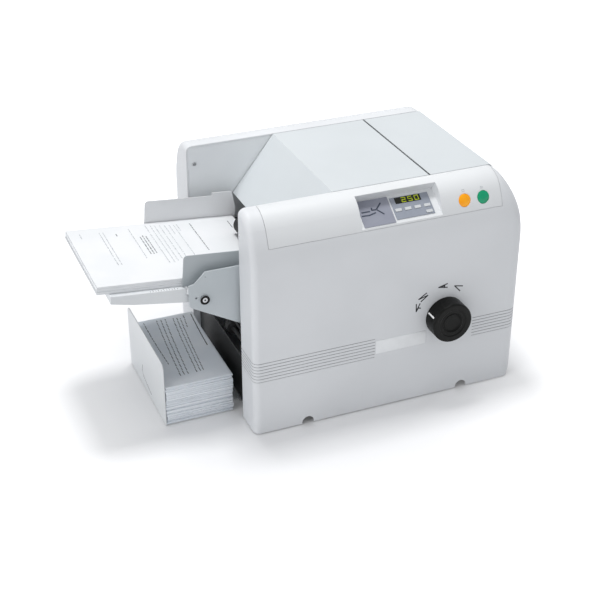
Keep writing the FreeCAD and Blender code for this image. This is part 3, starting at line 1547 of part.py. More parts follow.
def make_selector():
    """Fold selector knob and its shaft with the notched cam."""
    face = "knob_height"
    outline = [
        (0, 0),
        ("knob_radius", 0),
        ("knob_radius", f"{face} - knob_edge", "knob_edge", 1),
        ("knob_radius - knob_edge", face),
        ("knob_ring", face),
        ("knob_ring - knob_edge / 2", f"{face} - knob_edge / 2"),
        ("knob_dish + knob_edge / 2", f"{face} - knob_edge / 2"),
        ("knob_dish", face),
        ("knob_dish - knob_edge", f"{face} - knob_dish_depth"),
        (0, f"{face} - knob_dish_depth"),
    ]
    knob = placed(turned("knob_body", outline), "knob_x", "-knob_gap", "knob_z", (1, 0, 0), 90)
    subpart("selector_knob", knob)
    core = rod(
        "selector_core",
        "selector_radius",
        "cover_depth + shaft_end + knob_gap",
        ("knob_x", "-knob_gap", "knob_z"),
    )
    disc = rod("cam_disc", "cam_radius", "cam_thickness", ("knob_x", "cover_depth / 2", "knob_z"))
    notches = []
    for index in range(4):
        across = f"knob_x + cam_radius * sin({index} * 30deg)"
        up = f"knob_z + cam_radius * cos({index} * 30deg)"
        notches.append(
            rod(
                f"cam_notch_{index}",
                "post_radius",
                "2 * cam_thickness",
                (across, "cover_depth / 2 - cam_thickness / 2", up),
            )
        )
    subpart("selector_shaft", fused("selector_whole", [core, cut("cam_cut", disc, notches)]))


def make_mains():
    """Mains inlet with three flat contacts, and the switch housing beside it."""
    inside = "(rear_face - inlet_depth)"
    depth = "(inlet_depth + inlet_flange_proud)"
    low_x = "(inlet_x - inlet_width / 2)"
    low_z = "(inlet_z - inlet_height / 2)"
    housing = block("inlet_housing", ("inlet_width", depth, "inlet_height"), (low_x, inside, low_z))
    flange = block(
        "inlet_rim",
        ("inlet_width + 2 * inlet_flange", "inlet_flange_proud", "inlet_height + 2 * inlet_flange"),
        (f"{low_x} - inlet_flange", "rear_face", f"{low_z} - inlet_flange"),
    )
    recess = block(
        "inlet_recess",
        ("inlet_width - 2 * inlet_wall", depth, "inlet_height - 2 * inlet_wall"),
        (f"{low_x} + inlet_wall", f"{inside} + inlet_wall", f"{low_z} + inlet_wall"),
    )
    contacts = []
    for index in range(3):
        contacts.append(block(
            f"contact_{index}",
            ("contact_thickness", "contact_length + inlet_wall / 2", "contact_width"),
            (
                f"inlet_x + {index - 1} * contact_pitch - contact_thickness / 2",
                f"{inside} + inlet_wall / 2",
                "inlet_z - contact_width / 2",
            ),
        ))
    inlet = fused(
        "inlet_whole", [cut("inlet_cut", fused("inlet_solid", [housing, flange]), [recess])] + contacts,
    )

    middle = "(inlet_x - switch_pitch)"
    low_x = f"({middle} - switch_width / 2)"
    low_z = "(inlet_z - switch_height / 2)"
    box = block("switch_housing", ("switch_width", depth, "switch_height"), (low_x, inside, low_z))
    rim = block(
        "switch_rim",
        ("switch_width + 2 * inlet_flange", "inlet_flange_proud", "switch_height + 2 * inlet_flange"),
        (f"{low_x} - inlet_flange", "rear_face", f"{low_z} - inlet_flange"),
    )
    hollow = block(
        "switch_hollow",
        ("switch_width - 2 * inlet_wall", depth, "switch_height - 2 * inlet_wall"),
        (f"{low_x} + inlet_wall", f"{inside} + inlet_wall", f"{low_z} + inlet_wall"),
    )
    subpart("power_inlet", inlet, cut("switch_cut", fused("switch_solid", [box, rim]), [hollow]))

    half = "(switch_height / 2 - inlet_wall - rocker_gap)"
    outline = [
        ("-rocker_depth", f"-{half} + rocker_gap"),
        ("rocker_proud", f"-{half} + rocker_gap"),
        (0, 0),
        ("rocker_proud", f"{half} - rocker_gap"),
        ("-rocker_depth", f"{half} - rocker_gap"),
    ]
    rocker = padded("rocker_body", "YZ_Plane", [outline], "switch_width - 2 * inlet_wall - 2 * rocker_gap")
    placed(
        rocker, f"{low_x} + inlet_wall + rocker_gap", "rear_face - rocker_sink", "inlet_z",
        (1, 0, 0), "switch_swing",
    )
    subpart("power_switch", rocker)


def check_and_write():
    """Stop on any failed feature or bad shape, then write one file per sub-part."""
    doc.recompute()
    for item in doc.Objects:
        if "Invalid" in item.State or "Error" in item.State:
            raise RuntimeError(f"{item.Name} failed: {item.State}")
    for holder in SUBPARTS:
        if holder.Shape.isNull() or not holder.Shape.isValid():
            raise RuntimeError(f"{holder.Label} has no valid shape")
        if not holder.Shape.Solids:
            raise RuntimeError(f"{holder.Label} holds no solid")
    os.makedirs("parts", exist_ok=True)
    for holder in SUBPARTS:
        holder.Shape.exportStep(f"parts/{holder.Label}.step")
        print(holder.Label, len(holder.Shape.Solids))


fill_sheet()
outside = cover_core("cover_outside", "0")
cover_shell = cut("cover_shell", outside, [cover_core("cover_inside", "cover_wall")])
make_front_cover(outside, cover_shell)
make_control_strip(outside, cover_shell)
make_panel()
make_buttons()
make_control_board()
make_rear_cover()
make_frames()
make_base()
make_hood()
make_plate_cover()
make_end_cover()
make_brackets()
make_table()
make_extension()
make_guides()
make_paper()
make_fold_rollers()
make_feed_drive()
make_delivery_rollers()
make_drive()
make_paper_path()
make_delivery_stop()
make_selector()
make_mains()
check_and_write()
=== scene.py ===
"""Looks of a desk-top paper folding machine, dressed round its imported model."""

import logging
import math
import random
from collections.abc import Iterable
from dataclasses import dataclass, replace
from enum import Enum
from functools import partial, reduce

import bpy
from mathutils import Matrix, Vector


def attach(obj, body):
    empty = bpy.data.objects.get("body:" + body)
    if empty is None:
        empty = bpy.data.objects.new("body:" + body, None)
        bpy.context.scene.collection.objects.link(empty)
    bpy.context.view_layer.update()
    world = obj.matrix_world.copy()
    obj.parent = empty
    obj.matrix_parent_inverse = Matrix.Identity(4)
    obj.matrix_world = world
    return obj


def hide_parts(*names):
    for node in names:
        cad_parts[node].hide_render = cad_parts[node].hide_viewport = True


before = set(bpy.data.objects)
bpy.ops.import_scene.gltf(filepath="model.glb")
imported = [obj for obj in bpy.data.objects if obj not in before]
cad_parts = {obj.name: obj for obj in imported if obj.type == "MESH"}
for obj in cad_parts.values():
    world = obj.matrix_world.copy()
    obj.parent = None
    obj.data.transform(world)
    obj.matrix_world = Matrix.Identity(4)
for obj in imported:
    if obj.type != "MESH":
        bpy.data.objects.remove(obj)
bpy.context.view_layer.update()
MM = 0.001
log = logging.getLogger("folding_machine")

Colour = tuple[float, float, float]
Point = tuple[float, float, float]
Spot = tuple[float, float]
Line = tuple[Spot, ...]
Row = tuple[float, float, float, float]
Socket = bpy.types.NodeSocket
Tree = bpy.types.NodeTree


class Slot(Enum):
    """Names of material slots, passed along with new pieces."""

    HOUSING = "housing"
    STRIP = "strip"
    COVER_SHEET = "cover_sheet"
    ZINC = "zinc"
    BLACK_PLASTIC = "black_plastic"
    DIAGRAM_FILM = "diagram_film"
    DISPLAY = "display"
    PAPER = "copy_paper"


def tone(*channels: int) -> Colour:
    """Give the linear colour that a shader takes for a screen colour of 0 to 255 a channel."""
    parts = [value / 255 for value in channels]
    return tuple(part / 12.92 if part <= 0.04045 else ((part + 0.055) / 1.055) ** 2.4 for part in parts)


# ------------------------------------------------------------------ shader groups


class ShaderBench:
    """Makes nodes in one tree and joins them up."""

    def __init__(self, tree: Tree) -> None:
        """Take the tree to work in."""
        self.tree = tree

    def feed(self, target: Socket, value: object) -> None:
        """Give an input a source.

        Args:
            target: The input.
            value: A socket to follow, or a number, linear colour or vector of its own.
        """
        if isinstance(value, Socket):
            self.tree.links.new(value, target)
        elif isinstance(value, tuple):
            target.default_value = (*value, 1.0)[:len(target.default_value)]
        else:
            target.default_value = float(value)

    def node(self, kind: str, inputs: dict[int | str, object] | None = None, **settings: object) -> bpy.types.Node:
        """Add a shader node.

        Args:
            kind: The node's type, without the ShaderNode in front.
            inputs: What its inputs get, by name or number.
            settings: The node's own settings.

        Returns:
            The node.
        """
        made = self.tree.nodes.new("ShaderNode" + kind)
        for name, value in settings.items():
            setattr(made, name, value)
        for label, value in (inputs or {}).items():
            self.feed(made.inputs[label], value)
        return made

    def maths(self, kind: str, *values: object) -> Socket:
        """Add a maths node on numbers or sockets and give its result."""
        return self.node("Math", dict(enumerate(values)), operation=kind).outputs[0]

    def product(self, *values: object) -> Socket:
        """Multiply numbers or sockets one after another."""
        return reduce(partial(self.maths, "MULTIPLY"), values)

    def noise(self, vector: Socket, scale: object, detail: float) -> Socket:
        """Add a noise of a given scale and give its factor."""
        return self.node("TexNoise", {"Vector": vector, "Scale": scale, "Detail": detail}).outputs["Fac"]

    def blend(self, factor: object, first: object, second: object) -> Socket:
        """Mix two linear colours or colour sockets and give the mixed colour."""
        return self.node("Mix", {0: factor, 6: first, 7: second}, data_type="RGBA").outputs[2]

    def spread(self, value: Socket, low: float, high: float, **settings: object) -> Socket:
        """Stretch the span between two values to 0 to 1."""
        span = {"Value": value, "From Min": low, "From Max": high}
        return self.node("MapRange", span, **settings).outputs["Result"]

    def split(self, vector: Socket) -> list[Socket]:
        """Give a vector's x, y and z."""
        return list(self.node("SeparateXYZ", {0: vector}).outputs)

    def stretch(self, vector: Socket, *times: object) -> Socket:
        """Multiply a vector's x, y and z by a number or socket each."""
        parts = [self.product(part, by) for part, by in zip(self.split(vector), times)]
        return self.node("CombineXYZ", dict(enumerate(parts))).outputs[0]

    def facing(self) -> list[Socket]:
        """Give the x, y and z of the way that the surface faces."""
        return self.split(self.node("NewGeometry").outputs["Normal"])


class EffectGroup(ShaderBench):
    """The bench of a shader node group that reads a vector and has further named inputs and outputs."""

    def __init__(self, name: str, outputs: tuple[str, ...], **inputs: float | Colour) -> None:
        """Make the group and its sockets.

        Args:
            name: The group's name.
            outputs: The outputs' names; Color is a colour and the others are numbers.
            inputs: Each further input's starting value.
        """
        super().__init__(bpy.data.node_groups.new(name, "ShaderNodeTree"))
        sockets = self.tree.interface
        sockets.new_socket(name="Vector", in_out="INPUT", socket_type="NodeSocketVector")
        for label, value in inputs.items():
            colour = isinstance(value, tuple)
            kind = "NodeSocketColor" if colour else "NodeSocketFloat"
            made = sockets.new_socket(name=label, in_out="INPUT", socket_type=kind)
            made.default_value = (*value, 1.0) if colour else value
        for label in outputs:
            kind = "NodeSocketColor" if label == "Color" else "NodeSocketFloat"
            sockets.new_socket(name=label, in_out="OUTPUT", socket_type=kind)
        self.start = self.tree.nodes.new("NodeGroupInput")
        self.end = self.tree.nodes.new("NodeGroupOutput")

    def get(self, label: str) -> Socket:
        """Give an input's socket inside the group."""
        return self.start.outputs[label]

    def finish(self, **sources: Socket) -> Tree:
        """Send a socket to each of the group's outputs.

        Args:
            sources: The sockets by the outputs' names.

        Returns:
            The group.
        """
        for label, source in sources.items():
            self.feed(self.end.inputs[label], source)
        return self.tree


class Effects:
    """The shared shader groups of all finishes."""

    def __init__(self) -> None:
        """Build every group once."""
        self.drift = self._tone_drift()
        self.grain = self._moulded_grain()
        self.wear = self._edge_wear()
        self.brushing = self._brushing()
        self.layers = self._sheet_layers()
        self.dust = self._settled_dust()

    @staticmethod
    def _tone_drift() -> Tree:
        """A slow change between two tones over the surface."""
        made = EffectGroup("tone_drift", ("Color",), Scale=6.0, First=(0.5, 0.5, 0.5), Second=(0.45, 0.45, 0.45))
        slow = made.noise(made.get("Vector"), made.get("Scale"), 3.0)
        mask = made.spread(slow, 0.35, 0.65, interpolation_type="SMOOTHSTEP")
        return made.finish(Color=made.blend(mask, made.get("First"), made.get("Second")))

    @staticmethod
    def _moulded_grain() -> Tree:
        """The fine spark-eroded texture of a moulding or of paint, as height and roughness."""
        made = EffectGroup("moulded_grain", ("Height", "Roughness"), Scale=900.0, Smooth=0.4, Rough=0.55)
        fine = made.noise(made.get("Vector"), made.get("Scale"), 4.0)
        broad = made.noise(made.get("Vector"), 18.0, 2.0)
        span = made.maths("SUBTRACT", made.get("Rough"), made.get("Smooth"))
        mix = made.maths("ADD", made.product(fine, 0.5), made.product(broad, 0.5))
        return made.finish(Height=fine, Roughness=made.maths("MULTIPLY_ADD", mix, span, made.get("Smooth")))

    @staticmethod
    def _edge_wear() -> Tree:
        """A broken mask along edges, where handling rubs."""
        made = EffectGroup("edge_wear", ("Mask",), Amount=0.5)
        soft = made.node("Bevel", {"Radius": 0.0012}, samples=4).outputs["Normal"]
        sharp = made.node("NewGeometry").outputs["Normal"]
        dot = made.node("VectorMath", {0: soft, 1: sharp}, operation="DOT_PRODUCT").outputs["Value"]
        rise = made.product(made.maths("SUBTRACT", 1.0, dot), 6.0)
        broken = made.product(rise, made.noise(made.get("Vector"), 240.0, 3.0), made.get("Amount"))
        return made.finish(Mask=made.maths("MINIMUM", broken, 1.0))

    @staticmethod
    def _brushing() -> Tree:
        """Fine parallel marks of ground or turned metal."""
        made = EffectGroup("brushing", ("Height", "Roughness"), Along=4.0, Across=900.0)
        along, across = made.get("Along"), made.get("Across")
        marks = made.noise(made.stretch(made.get("Vector"), across, along, across), 1.0, 3.0)
        return made.finish(Height=marks, Roughness=made.maths("MULTIPLY_ADD", marks, 0.25, 0.22))

    @staticmethod
    def _sheet_layers() -> Tree:
        """The edges of stacked sheets: thin dark lines at uneven heights on the sides only."""
        made = EffectGroup("sheet_layers", ("Mask", "Height"), Lines=700.0, Depth=0.5)
        lines = made.noise(made.stretch(made.get("Vector"), 6.0, 6.0, made.get("Lines")), 1.0, 4.0)
        side = made.maths("SUBTRACT", 1.0, made.maths("ABSOLUTE", made.facing()[2]))
        only = made.maths("MINIMUM", made.product(side, 1.6), 1.0)
        mask = made.product(made.spread(lines, 0.45, 0.7), only)
        return made.finish(Mask=made.product(mask, made.get("Depth")), Height=mask)

    @staticmethod
    def _settled_dust() -> Tree:
        """A thin uneven film on faces that look up."""
        made = EffectGroup("settled_dust", ("Mask",), Amount=0.15)
        flat = made.maths("MAXIMUM", made.facing()[2], 0.0)
        patches = made.noise(made.get("Vector"), 35.0, 5.0)
        return made.finish(Mask=made.product(flat, patches, made.get("Amount")))


# ------------------------------------------------------------------ finishes


class Skin(ShaderBench):
    """The bench of one material, with its Object coordinates and its Principled shader."""

    def __init__(self, material: bpy.types.Material, effects: Effects | None = None) -> None:
        """Start the material afresh.

        Args:
            material: The material to dress.
            effects: The shared shader groups, where it uses them.
        """
        material.use_nodes = True
        material.node_tree.nodes.clear()
        super().__init__(material.node_tree)
        self.effects = effects
        self.place = self.node("TexCoord").outputs["Object"]
        self.shader = self.node("BsdfPrincipled")
        self.node("OutputMaterial", {"Surface": self.shader.outputs["BSDF"]})

    def put(self, **values: object) -> None:
        """Feed the shader's inputs, each named with an underscore for a space."""
        for label, value in values.items():
            self.feed(self.shader.inputs[label.replace("_", " ")], value)

    def effect(self, name: str, **values: object) -> bpy.types.NodeOutputs:
        """Place a shared group, which reads the Object coordinates unless Vector is given, and give its outputs."""
        inputs = {"Vector": self.place, **values}
        return self.node("Group", inputs, node_tree=getattr(self.effects, name)).outputs

    def grain(self, scale: float, smooth: float, rough: float) -> bpy.types.NodeOutputs:
        """Place the moulded grain, which runs between two roughnesses, and give its outputs."""
        return self.effect("grain", Scale=scale, Smooth=smooth, Rough=rough)

    def relief(self, height: Socket, strength: float, distance: float, round_edge: float = 0.0) -> None:
        """Give the shader small relief, and softly rounded edges where asked.

        Args:
            height: The relief's height.
            strength: How strong the relief is.
            distance: How deep it is, in metres.
            round_edge: The radius that edges seem to have, in metres.
        """
        inputs = {"Strength": strength, "Distance": distance, "Height": height}
        if round_edge:
            inputs["Normal"] = self.node("Bevel", {"Radius": round_edge}, samples=6).outputs["Normal"]
        self.put(Normal=self.node("Bump", inputs).outputs["Normal"])


@dataclass(frozen=True)
class Finish:
    """A surface finish between two tones; every kind of it builds one material."""

    name: str
    light: Colour
    dark: Colour

    def build(self, effects: Effects) -> bpy.types.Material:
        """Make the material.

        Args:
            effects: The shared shader groups.

        Returns:
            The finished material.
        """
        material = bpy.data.materials.new(self.name)
        self.dress(Skin(material, effects))
        material.diffuse_color = (*self.light, 1.0)
        return material

    def drift(self, skin: Skin, scale: float) -> Socket:
        """Give the slow change between the finish's two tones."""
        return skin.effect("drift", Scale=scale, First=self.light, Second=self.dark)["Color"]

    def dress(self, skin: Skin) -> None:
        """Wire the finish into the shader; each kind has its own way.

        Args:
            skin: The material under work.
        """
        raise NotImplementedError


@dataclass(frozen=True)
class Moulding(Finish):
    """Moulded plastic or paint with a fine grain, dusty tops and lighter rubbed edges."""

    smooth: float = 0.42
    rough: float = 0.56
    grain_scale: float = 950.0
    grain_depth: float = 0.00012
    rubbed: Colour = (0.86, 0.87, 0.88)
    wear: float = 0.35
    dust: float = 0.05
    dust_tone: Colour = tone(196, 194, 188)
    edge: float = 0.0006
    shine: float = 0.5
    bump: float = 0.25
    drift_scale: float = 5.0

    def dress(self, skin: Skin) -> None:
        """Wire tone drift, wear, dust and grain into the shader; Args as in Finish.dress."""
        worn = skin.effect("wear", Amount=self.wear)["Mask"]
        dusty = skin.effect("dust", Amount=self.dust)["Mask"]
        rubbed = skin.blend(worn, self.drift(skin, self.drift_scale), self.rubbed)
        grain = skin.grain(self.grain_scale, self.smooth, self.rough)
        skin.put(Base_Color=skin.blend(dusty, rubbed, self.dust_tone), Roughness=grain["Roughness"],
                 Specular_IOR_Level=self.shine)
        skin.relief(grain["Height"], self.bump, self.grain_depth, self.edge)


@dataclass(frozen=True)
class PaintedGrooveShadeMoulding(Moulding):
    """Moulded plastic with a band of level grooves, whose colour holds a little painted shade."""

    low: float = 0.1015
    pitch: float = 0.0058
    width: float = 0.0012
    count: int = 7
    left_end: float = 0.0836
    right_start: float = 0.2656
    # painted shade: how far the colour inside the grooves is darkened, and the tone it is darkened towards
    shade: float = 0.45
    painted_groove_shade_tone: Colour = tone(70, 74, 80)

    def dress(self, skin: Skin) -> None:
        """Wire the moulding, then paint shade into its colour inside the grooves; Args as in Finish.dress."""
        super().dress(skin)
        along, _, height = skin.split(skin.place)
        climb = skin.maths("SUBTRACT", height, self.low)
        left = skin.maths("LESS_THAN", along, self.left_end)
        right = skin.maths("GREATER_THAN", along, self.right_start)
        # painted shade: the colour inside the grooves is darkened
        mask = skin.product(
            skin.maths("LESS_THAN", skin.maths("MODULO", climb, self.pitch), self.width),
            self.shade,
            skin.maths("GREATER_THAN", climb, 0.0),
            skin.maths("LESS_THAN", climb, self.pitch * self.count),
            skin.maths("ADD", left, right),
        )
        plain = skin.shader.inputs["Base Color"].links[0].from_socket
        skin.put(Base_Color=skin.blend(mask, plain, self.painted_groove_shade_tone))


@dataclass(frozen=True)
class PaintedSheet(Moulding):
    """Sheet metal with a coat of fine textured paint."""

    grain_scale: float = 700.0
    grain_depth: float = 0.0001
    edge: float = 0.0004


@dataclass(frozen=True)
class Metal(Finish):
    """Bare ground or plated metal with fine parallel marks."""

    along: float = 4.0
    across: float = 900.0
    worn_tone: Colour = (0.82, 0.82, 0.81)
    wear: float = 0.5
    drift_scale: float = 22.0
    bump: Point = (0.15, 0.00008, 0.0004)

    def dress(self, skin: Skin) -> None:
        """Wire tone drift and brushing into the shader; Args as in Finish.dress."""
        worn = skin.effect("wear", Amount=self.wear)["Mask"]
        marks = skin.effect("brushing", Along=self.along, Across=self.across)
        tint = skin.blend(worn, self.drift(skin, self.drift_scale), self.worn_tone)
        skin.put(Base_Color=tint, Metallic=1.0, Roughness=marks["Roughness"])
        skin.relief(marks["Height"], *self.bump)


@dataclass(frozen=True)
class RollerCover(Finish):
    """Ground rubber between two places along the depth, bare steel beyond them."""

    light: Colour = (0.035, 0.035, 0.037)
    dark: Colour = (0.02, 0.02, 0.021)
    near: float = -0.1115
    far: float = 0.1236
    steel_light: Colour = (0.55, 0.55, 0.56)
    steel_dark: Colour = (0.42, 0.42, 0.43)
    drift_scale: float = 30.0
    steel_scale: float = 40.0
    rubber_rough: float = 0.3
    texture: Point = (1500.0, 0.3, 0.6)
    along: float = 700.0
    across: float = 30.0
    bump: Point = (0.2, 0.0001, 0.0004)

    def dress(self, skin: Skin) -> None:
        """Wire rubber and steel by their place along the shaft; Args as in Finish.dress."""
        depth = skin.split(skin.place)[1]
        past = skin.maths("GREATER_THAN", depth, self.near)
        rubber = skin.product(past, skin.maths("LESS_THAN", depth, self.far))
        steel = skin.effect("drift", Scale=self.steel_scale, First=self.steel_light, Second=self.steel_dark)["Color"]
        grain = skin.grain(*self.texture)["Roughness"]
        marks = skin.effect("brushing", Along=self.along, Across=self.across)["Height"]
        skin.put(Base_Color=skin.blend(rubber, steel, self.drift(skin, self.drift_scale)),
                 Metallic=skin.maths("SUBTRACT", 1.0, rubber),
                 Roughness=skin.maths("MULTIPLY_ADD", rubber, self.rubber_rough, grain))
        skin.relief(marks, *self.bump)


@dataclass(frozen=True)
class Film(Finish):
    """Matt printed film with the faint texture of screen printing."""

    rough: float = 0.5
    play: float = 0.1
    grain_scale: float = 1800.0
    drift_scale: float = 45.0
    bump: Spot = (0.12, 0.00005)

    def dress(self, skin: Skin) -> None:
        """Wire tone drift and a faint grain into the shader; Args as in Finish.dress."""
        grain = skin.grain(self.grain_scale, self.rough - self.play, self.rough + self.play)
        skin.put(Base_Color=self.drift(skin, self.drift_scale), Roughness=grain["Roughness"])
        skin.relief(grain["Height"], *self.bump)


@dataclass(frozen=True)
class Gloss(Finish):
    """Glossy coloured plastic, with a slight glow of its own tone where one is given."""

    glow: float = 0.0
    shine: float = 0.25
    coat: float = 0.25
    coat_rough: float = 0.05
    texture: Point = (600.0, 0.10, 0.22)
    drift_scale: float = 60.0
    bump: Spot = (0.05, 0.00003)

    def dress(self, skin: Skin) -> None:
        """Wire the tone, the shine and a slight glow into the shader; Args as in Finish.dress."""
        tint = self.drift(skin, self.drift_scale)
        grain = skin.grain(*self.texture)
        skin.put(Base_Color=tint, Roughness=grain["Roughness"], Specular_IOR_Level=self.shine,
                 Coat_Weight=self.coat, Coat_Roughness=self.coat_rough)
        # on the buttons this glow is painted light; on the display digits it is the display's own light
        if self.glow:
            skin.put(Emission_Color=tint, Emission_Strength=self.glow)
        skin.relief(grain["Height"], *self.bump)


@dataclass(frozen=True)
class Sheets(Finish):
    """Copy paper: faint fibre on the faces and the lines of sheet edges on the sides."""

    lines: float = 700.0
    shade: Colour = (0.45, 0.50, 0.55)
    depth: float = 0.6
    tilt: float = 0.0
    fibre: Point = (1400.0, 0.75, 0.95)
    fibre_share: float = 0.3
    drift_scale: float = 14.0
    bump: Spot = (0.35, 0.00015)

    def dress(self, skin: Skin) -> None:
        """Wire fibre and sheet edges into the shader; Args as in Finish.dress."""
        turn = {"Vector": skin.place, "Rotation": (0.0, -math.radians(self.tilt), 0.0)}
        laid = skin.node("Mapping", turn).outputs["Vector"]
        edges = skin.effect("layers", Vector=laid, Lines=self.lines, Depth=self.depth)
        grain = skin.grain(*self.fibre)
        skin.put(Base_Color=skin.blend(edges["Mask"], self.drift(skin, self.drift_scale), self.shade),
                 Roughness=grain["Roughness"])
        skin.relief(skin.maths("MULTIPLY_ADD", grain["Height"], self.fibre_share, edges["Height"]), *self.bump)


@dataclass(frozen=True)
class Ink(Finish):
    """Print whose letters break up into paper tone."""

    cover: float = 0.5
    blur: float = 0.08
    letter_scale: float = 1100.0
    rough: float = 0.8

    def dress(self, skin: Skin) -> None:
        """Wire broken letter shapes into the shader; Args as in Finish.dress."""
        letters = skin.noise(skin.place, self.letter_scale, 2.0)
        mask = skin.spread(letters, self.cover - self.blur, self.cover + self.blur)
        skin.put(Base_Color=skin.blend(mask, self.light, self.dark), Roughness=self.rough)


FINISHES: dict[str, Finish] = {
    "housing": Moulding("housing_moulding", tone(226, 228, 231), tone(221, 223, 226)),
    # the front cover's moulding, with painted shade in its grooves
    "housing_painted_groove_shade": PaintedGrooveShadeMoulding("moulding_painted_groove_shade", tone(226, 228, 231), tone(221, 223, 226)),
    "strip": Moulding("strip_moulding", tone(229, 231, 233), tone(225, 227, 229), 0.36, 0.48),
    "cover_sheet": PaintedSheet(
        "light_painted_sheet", tone(224, 227, 229), tone(219, 222, 225), 0.38, 0.52, edge=0.0005),
    "hood": PaintedSheet(
        "hood_painted_sheet", tone(211, 216, 219), tone(207, 212, 215), 0.34, 0.46, edge=0.0008),
    "guide": PaintedSheet(
        "guide_painted_sheet", tone(224, 225, 227), tone(218, 219, 221), 0.36, 0.5, rubbed=(0.7, 0.71, 0.72)),
    # painted shade: the near guide has the far guide's paint in darker tones, for the shade it lies in
    "near_guide_painted_shade": PaintedSheet(
        "near_guide_sheet_painted_shade", tone(182, 188, 192), tone(172, 179, 183), 0.34, 0.46, rubbed=(0.66, 0.68, 0.7)),
    "bracket": PaintedSheet(
        "bracket_painted_sheet", tone(196, 202, 206), tone(188, 195, 199), 0.36, 0.5, rubbed=(0.7, 0.71, 0.72)),
    "inner_sheet": PaintedSheet("inner_painted_sheet", tone(232, 235, 237), tone(226, 229, 232), 0.4, 0.55),
    "dark_sheet": Moulding(
        "dark_painted_sheet", tone(44, 45, 46), tone(36, 37, 38), 0.45, 0.6, rubbed=(0.3, 0.3, 0.3)),
    "steel": Metal("ground_steel", (0.56, 0.57, 0.58), (0.46, 0.47, 0.48), 900.0, 20.0),
    "zinc": Metal("zinc_plate", (0.60, 0.61, 0.62), (0.50, 0.51, 0.53), 60.0, 60.0),
    "bronze": Metal("sintered_bronze", (0.50, 0.32, 0.14), (0.40, 0.25, 0.10), 300.0, 300.0),
    "roller": RollerCover("roller_cover"),
    "feed_tyre": RollerCover("feed_tyre", near=-0.0272, far=0.0393),
    "wheel": RollerCover("delivery_wheel", near=-0.080, far=0.0921),
    "foot_rubber": Moulding(
        "foot_rubber", (0.02, 0.02, 0.021), (0.014, 0.014, 0.015), 0.6, 0.8, rubbed=(0.06, 0.06, 0.06), dust=0.2),
    "black_plastic": Moulding(
        "black_moulding", (0.0065, 0.0068, 0.0062), (0.0045, 0.0048, 0.0043), 0.34, 0.5, 1100.0,
        rubbed=(0.03, 0.03, 0.03), wear=0.5, dust=0.0, edge=0.0009, shine=0.16),
    "panel_film": Film("keypad_film", tone(146, 152, 164), tone(141, 147, 159)),
    "diagram_film": Film("diagram_film", tone(146, 149, 162), tone(141, 144, 158)),
    "display": Gloss("display_glass", (0.012, 0.014, 0.008), (0.008, 0.010, 0.006)),
    "digit": Gloss("display_digit", tone(176, 190, 40), tone(166, 180, 30), 0.18),
    "key": Moulding("key_moulding", tone(206, 209, 212), tone(198, 201, 205), 0.3, 0.42, edge=0.0005, dust=0.0),
    # painted light: the buttons are given a slight glow, though they hold no lamp
    "orange": Gloss("orange_button", tone(255, 172, 6), tone(250, 160, 2), 0.16),
    "green": Gloss("green_button", tone(0, 158, 112), tone(0, 148, 102), 0.10),
    "board": Gloss("board_lacquer", (0.02, 0.16, 0.07), (0.015, 0.12, 0.05)),
    "stack_paper": Sheets(
        "stack_paper", tone(233, 234, 236), tone(229, 231, 233), 2600.0, tone(176, 186, 196), 0.5, 5.0),
    "letter_paper": Sheets(
        "letter_paper", tone(236, 240, 245), tone(226, 232, 239), 1500.0, tone(150, 162, 174), 0.55),
    "faint_ink": Ink("faint_print", tone(244, 246, 248), tone(150, 154, 160), 0.47),
    "dark_ink": Ink("dark_print", tone(214, 218, 222), tone(58, 62, 68), 0.44),
    "mark_ink": Film("mark_ink", tone(40, 42, 46), tone(32, 34, 38), 0.45),
    "diagram_ink": Film("diagram_ink", tone(58, 66, 84), tone(48, 56, 72)),
    "faint_mark": Film("faint_mark", tone(186, 189, 193), tone(176, 180, 184)),
    "white_mark": Film("white_mark", tone(252, 252, 252), tone(248, 248, 248), 0.4),
    "plate_film": Film("bare_plate_film", tone(240, 242, 244), tone(236, 238, 240), 0.4),
    "motor": Moulding(
        "motor_paint", (0.03, 0.03, 0.032), (0.022, 0.022, 0.024), 0.3, 0.45, rubbed=(0.2, 0.2, 0.2)),
}

CAD_FINISHES: dict[str, str] = {
    "housing_painted_groove_shade": "front_cover",
    "housing": "rear_cover",
    "strip": "control_strip",
    "hood": "feed_hood plate_cover",
    "cover_sheet": "end_cover feed_table table_extension delivery_stop",
    "inner_sheet": "front_side_frame rear_side_frame",
    "bracket": "front_feed_bracket rear_feed_bracket",
    "near_guide_painted_shade": "near_side_guide",
    "guide": "far_side_guide",
    "dark_sheet": "bay_wall feed_ramp delivery_chute",
    "steel": "frame_tie_bars feed_shaft motor_shaft selector_shaft upper_fold_stop lower_fold_stop",
    "zinc": "frame_screws hinge_bolts base_plate feed_arm upper_fold_plate lower_fold_plate",
    "bronze": "shaft_bushes",
    "roller": "upper_fold_roller main_fold_roller right_fold_roller lower_fold_roller",
    "feed_tyre": "feed_roller",
    "wheel": "delivery_roller pinch_roller",
    "foot_rubber": "separator_pad rubber_feet drive_belts feed_arm_belt",
    "black_plastic": "selector_knob power_inlet power_switch",
    "panel_film": "keypad_panel",
    "diagram_film": "diagram_panel",
    "display": "display_window",
    "key": "panel_key_1 panel_key_2 panel_key_3 panel_key_4 panel_key_5",
    "orange": "stop_button",
    "green": "start_button",
    "board": "control_board",
    "motor": "drive_motor",
}


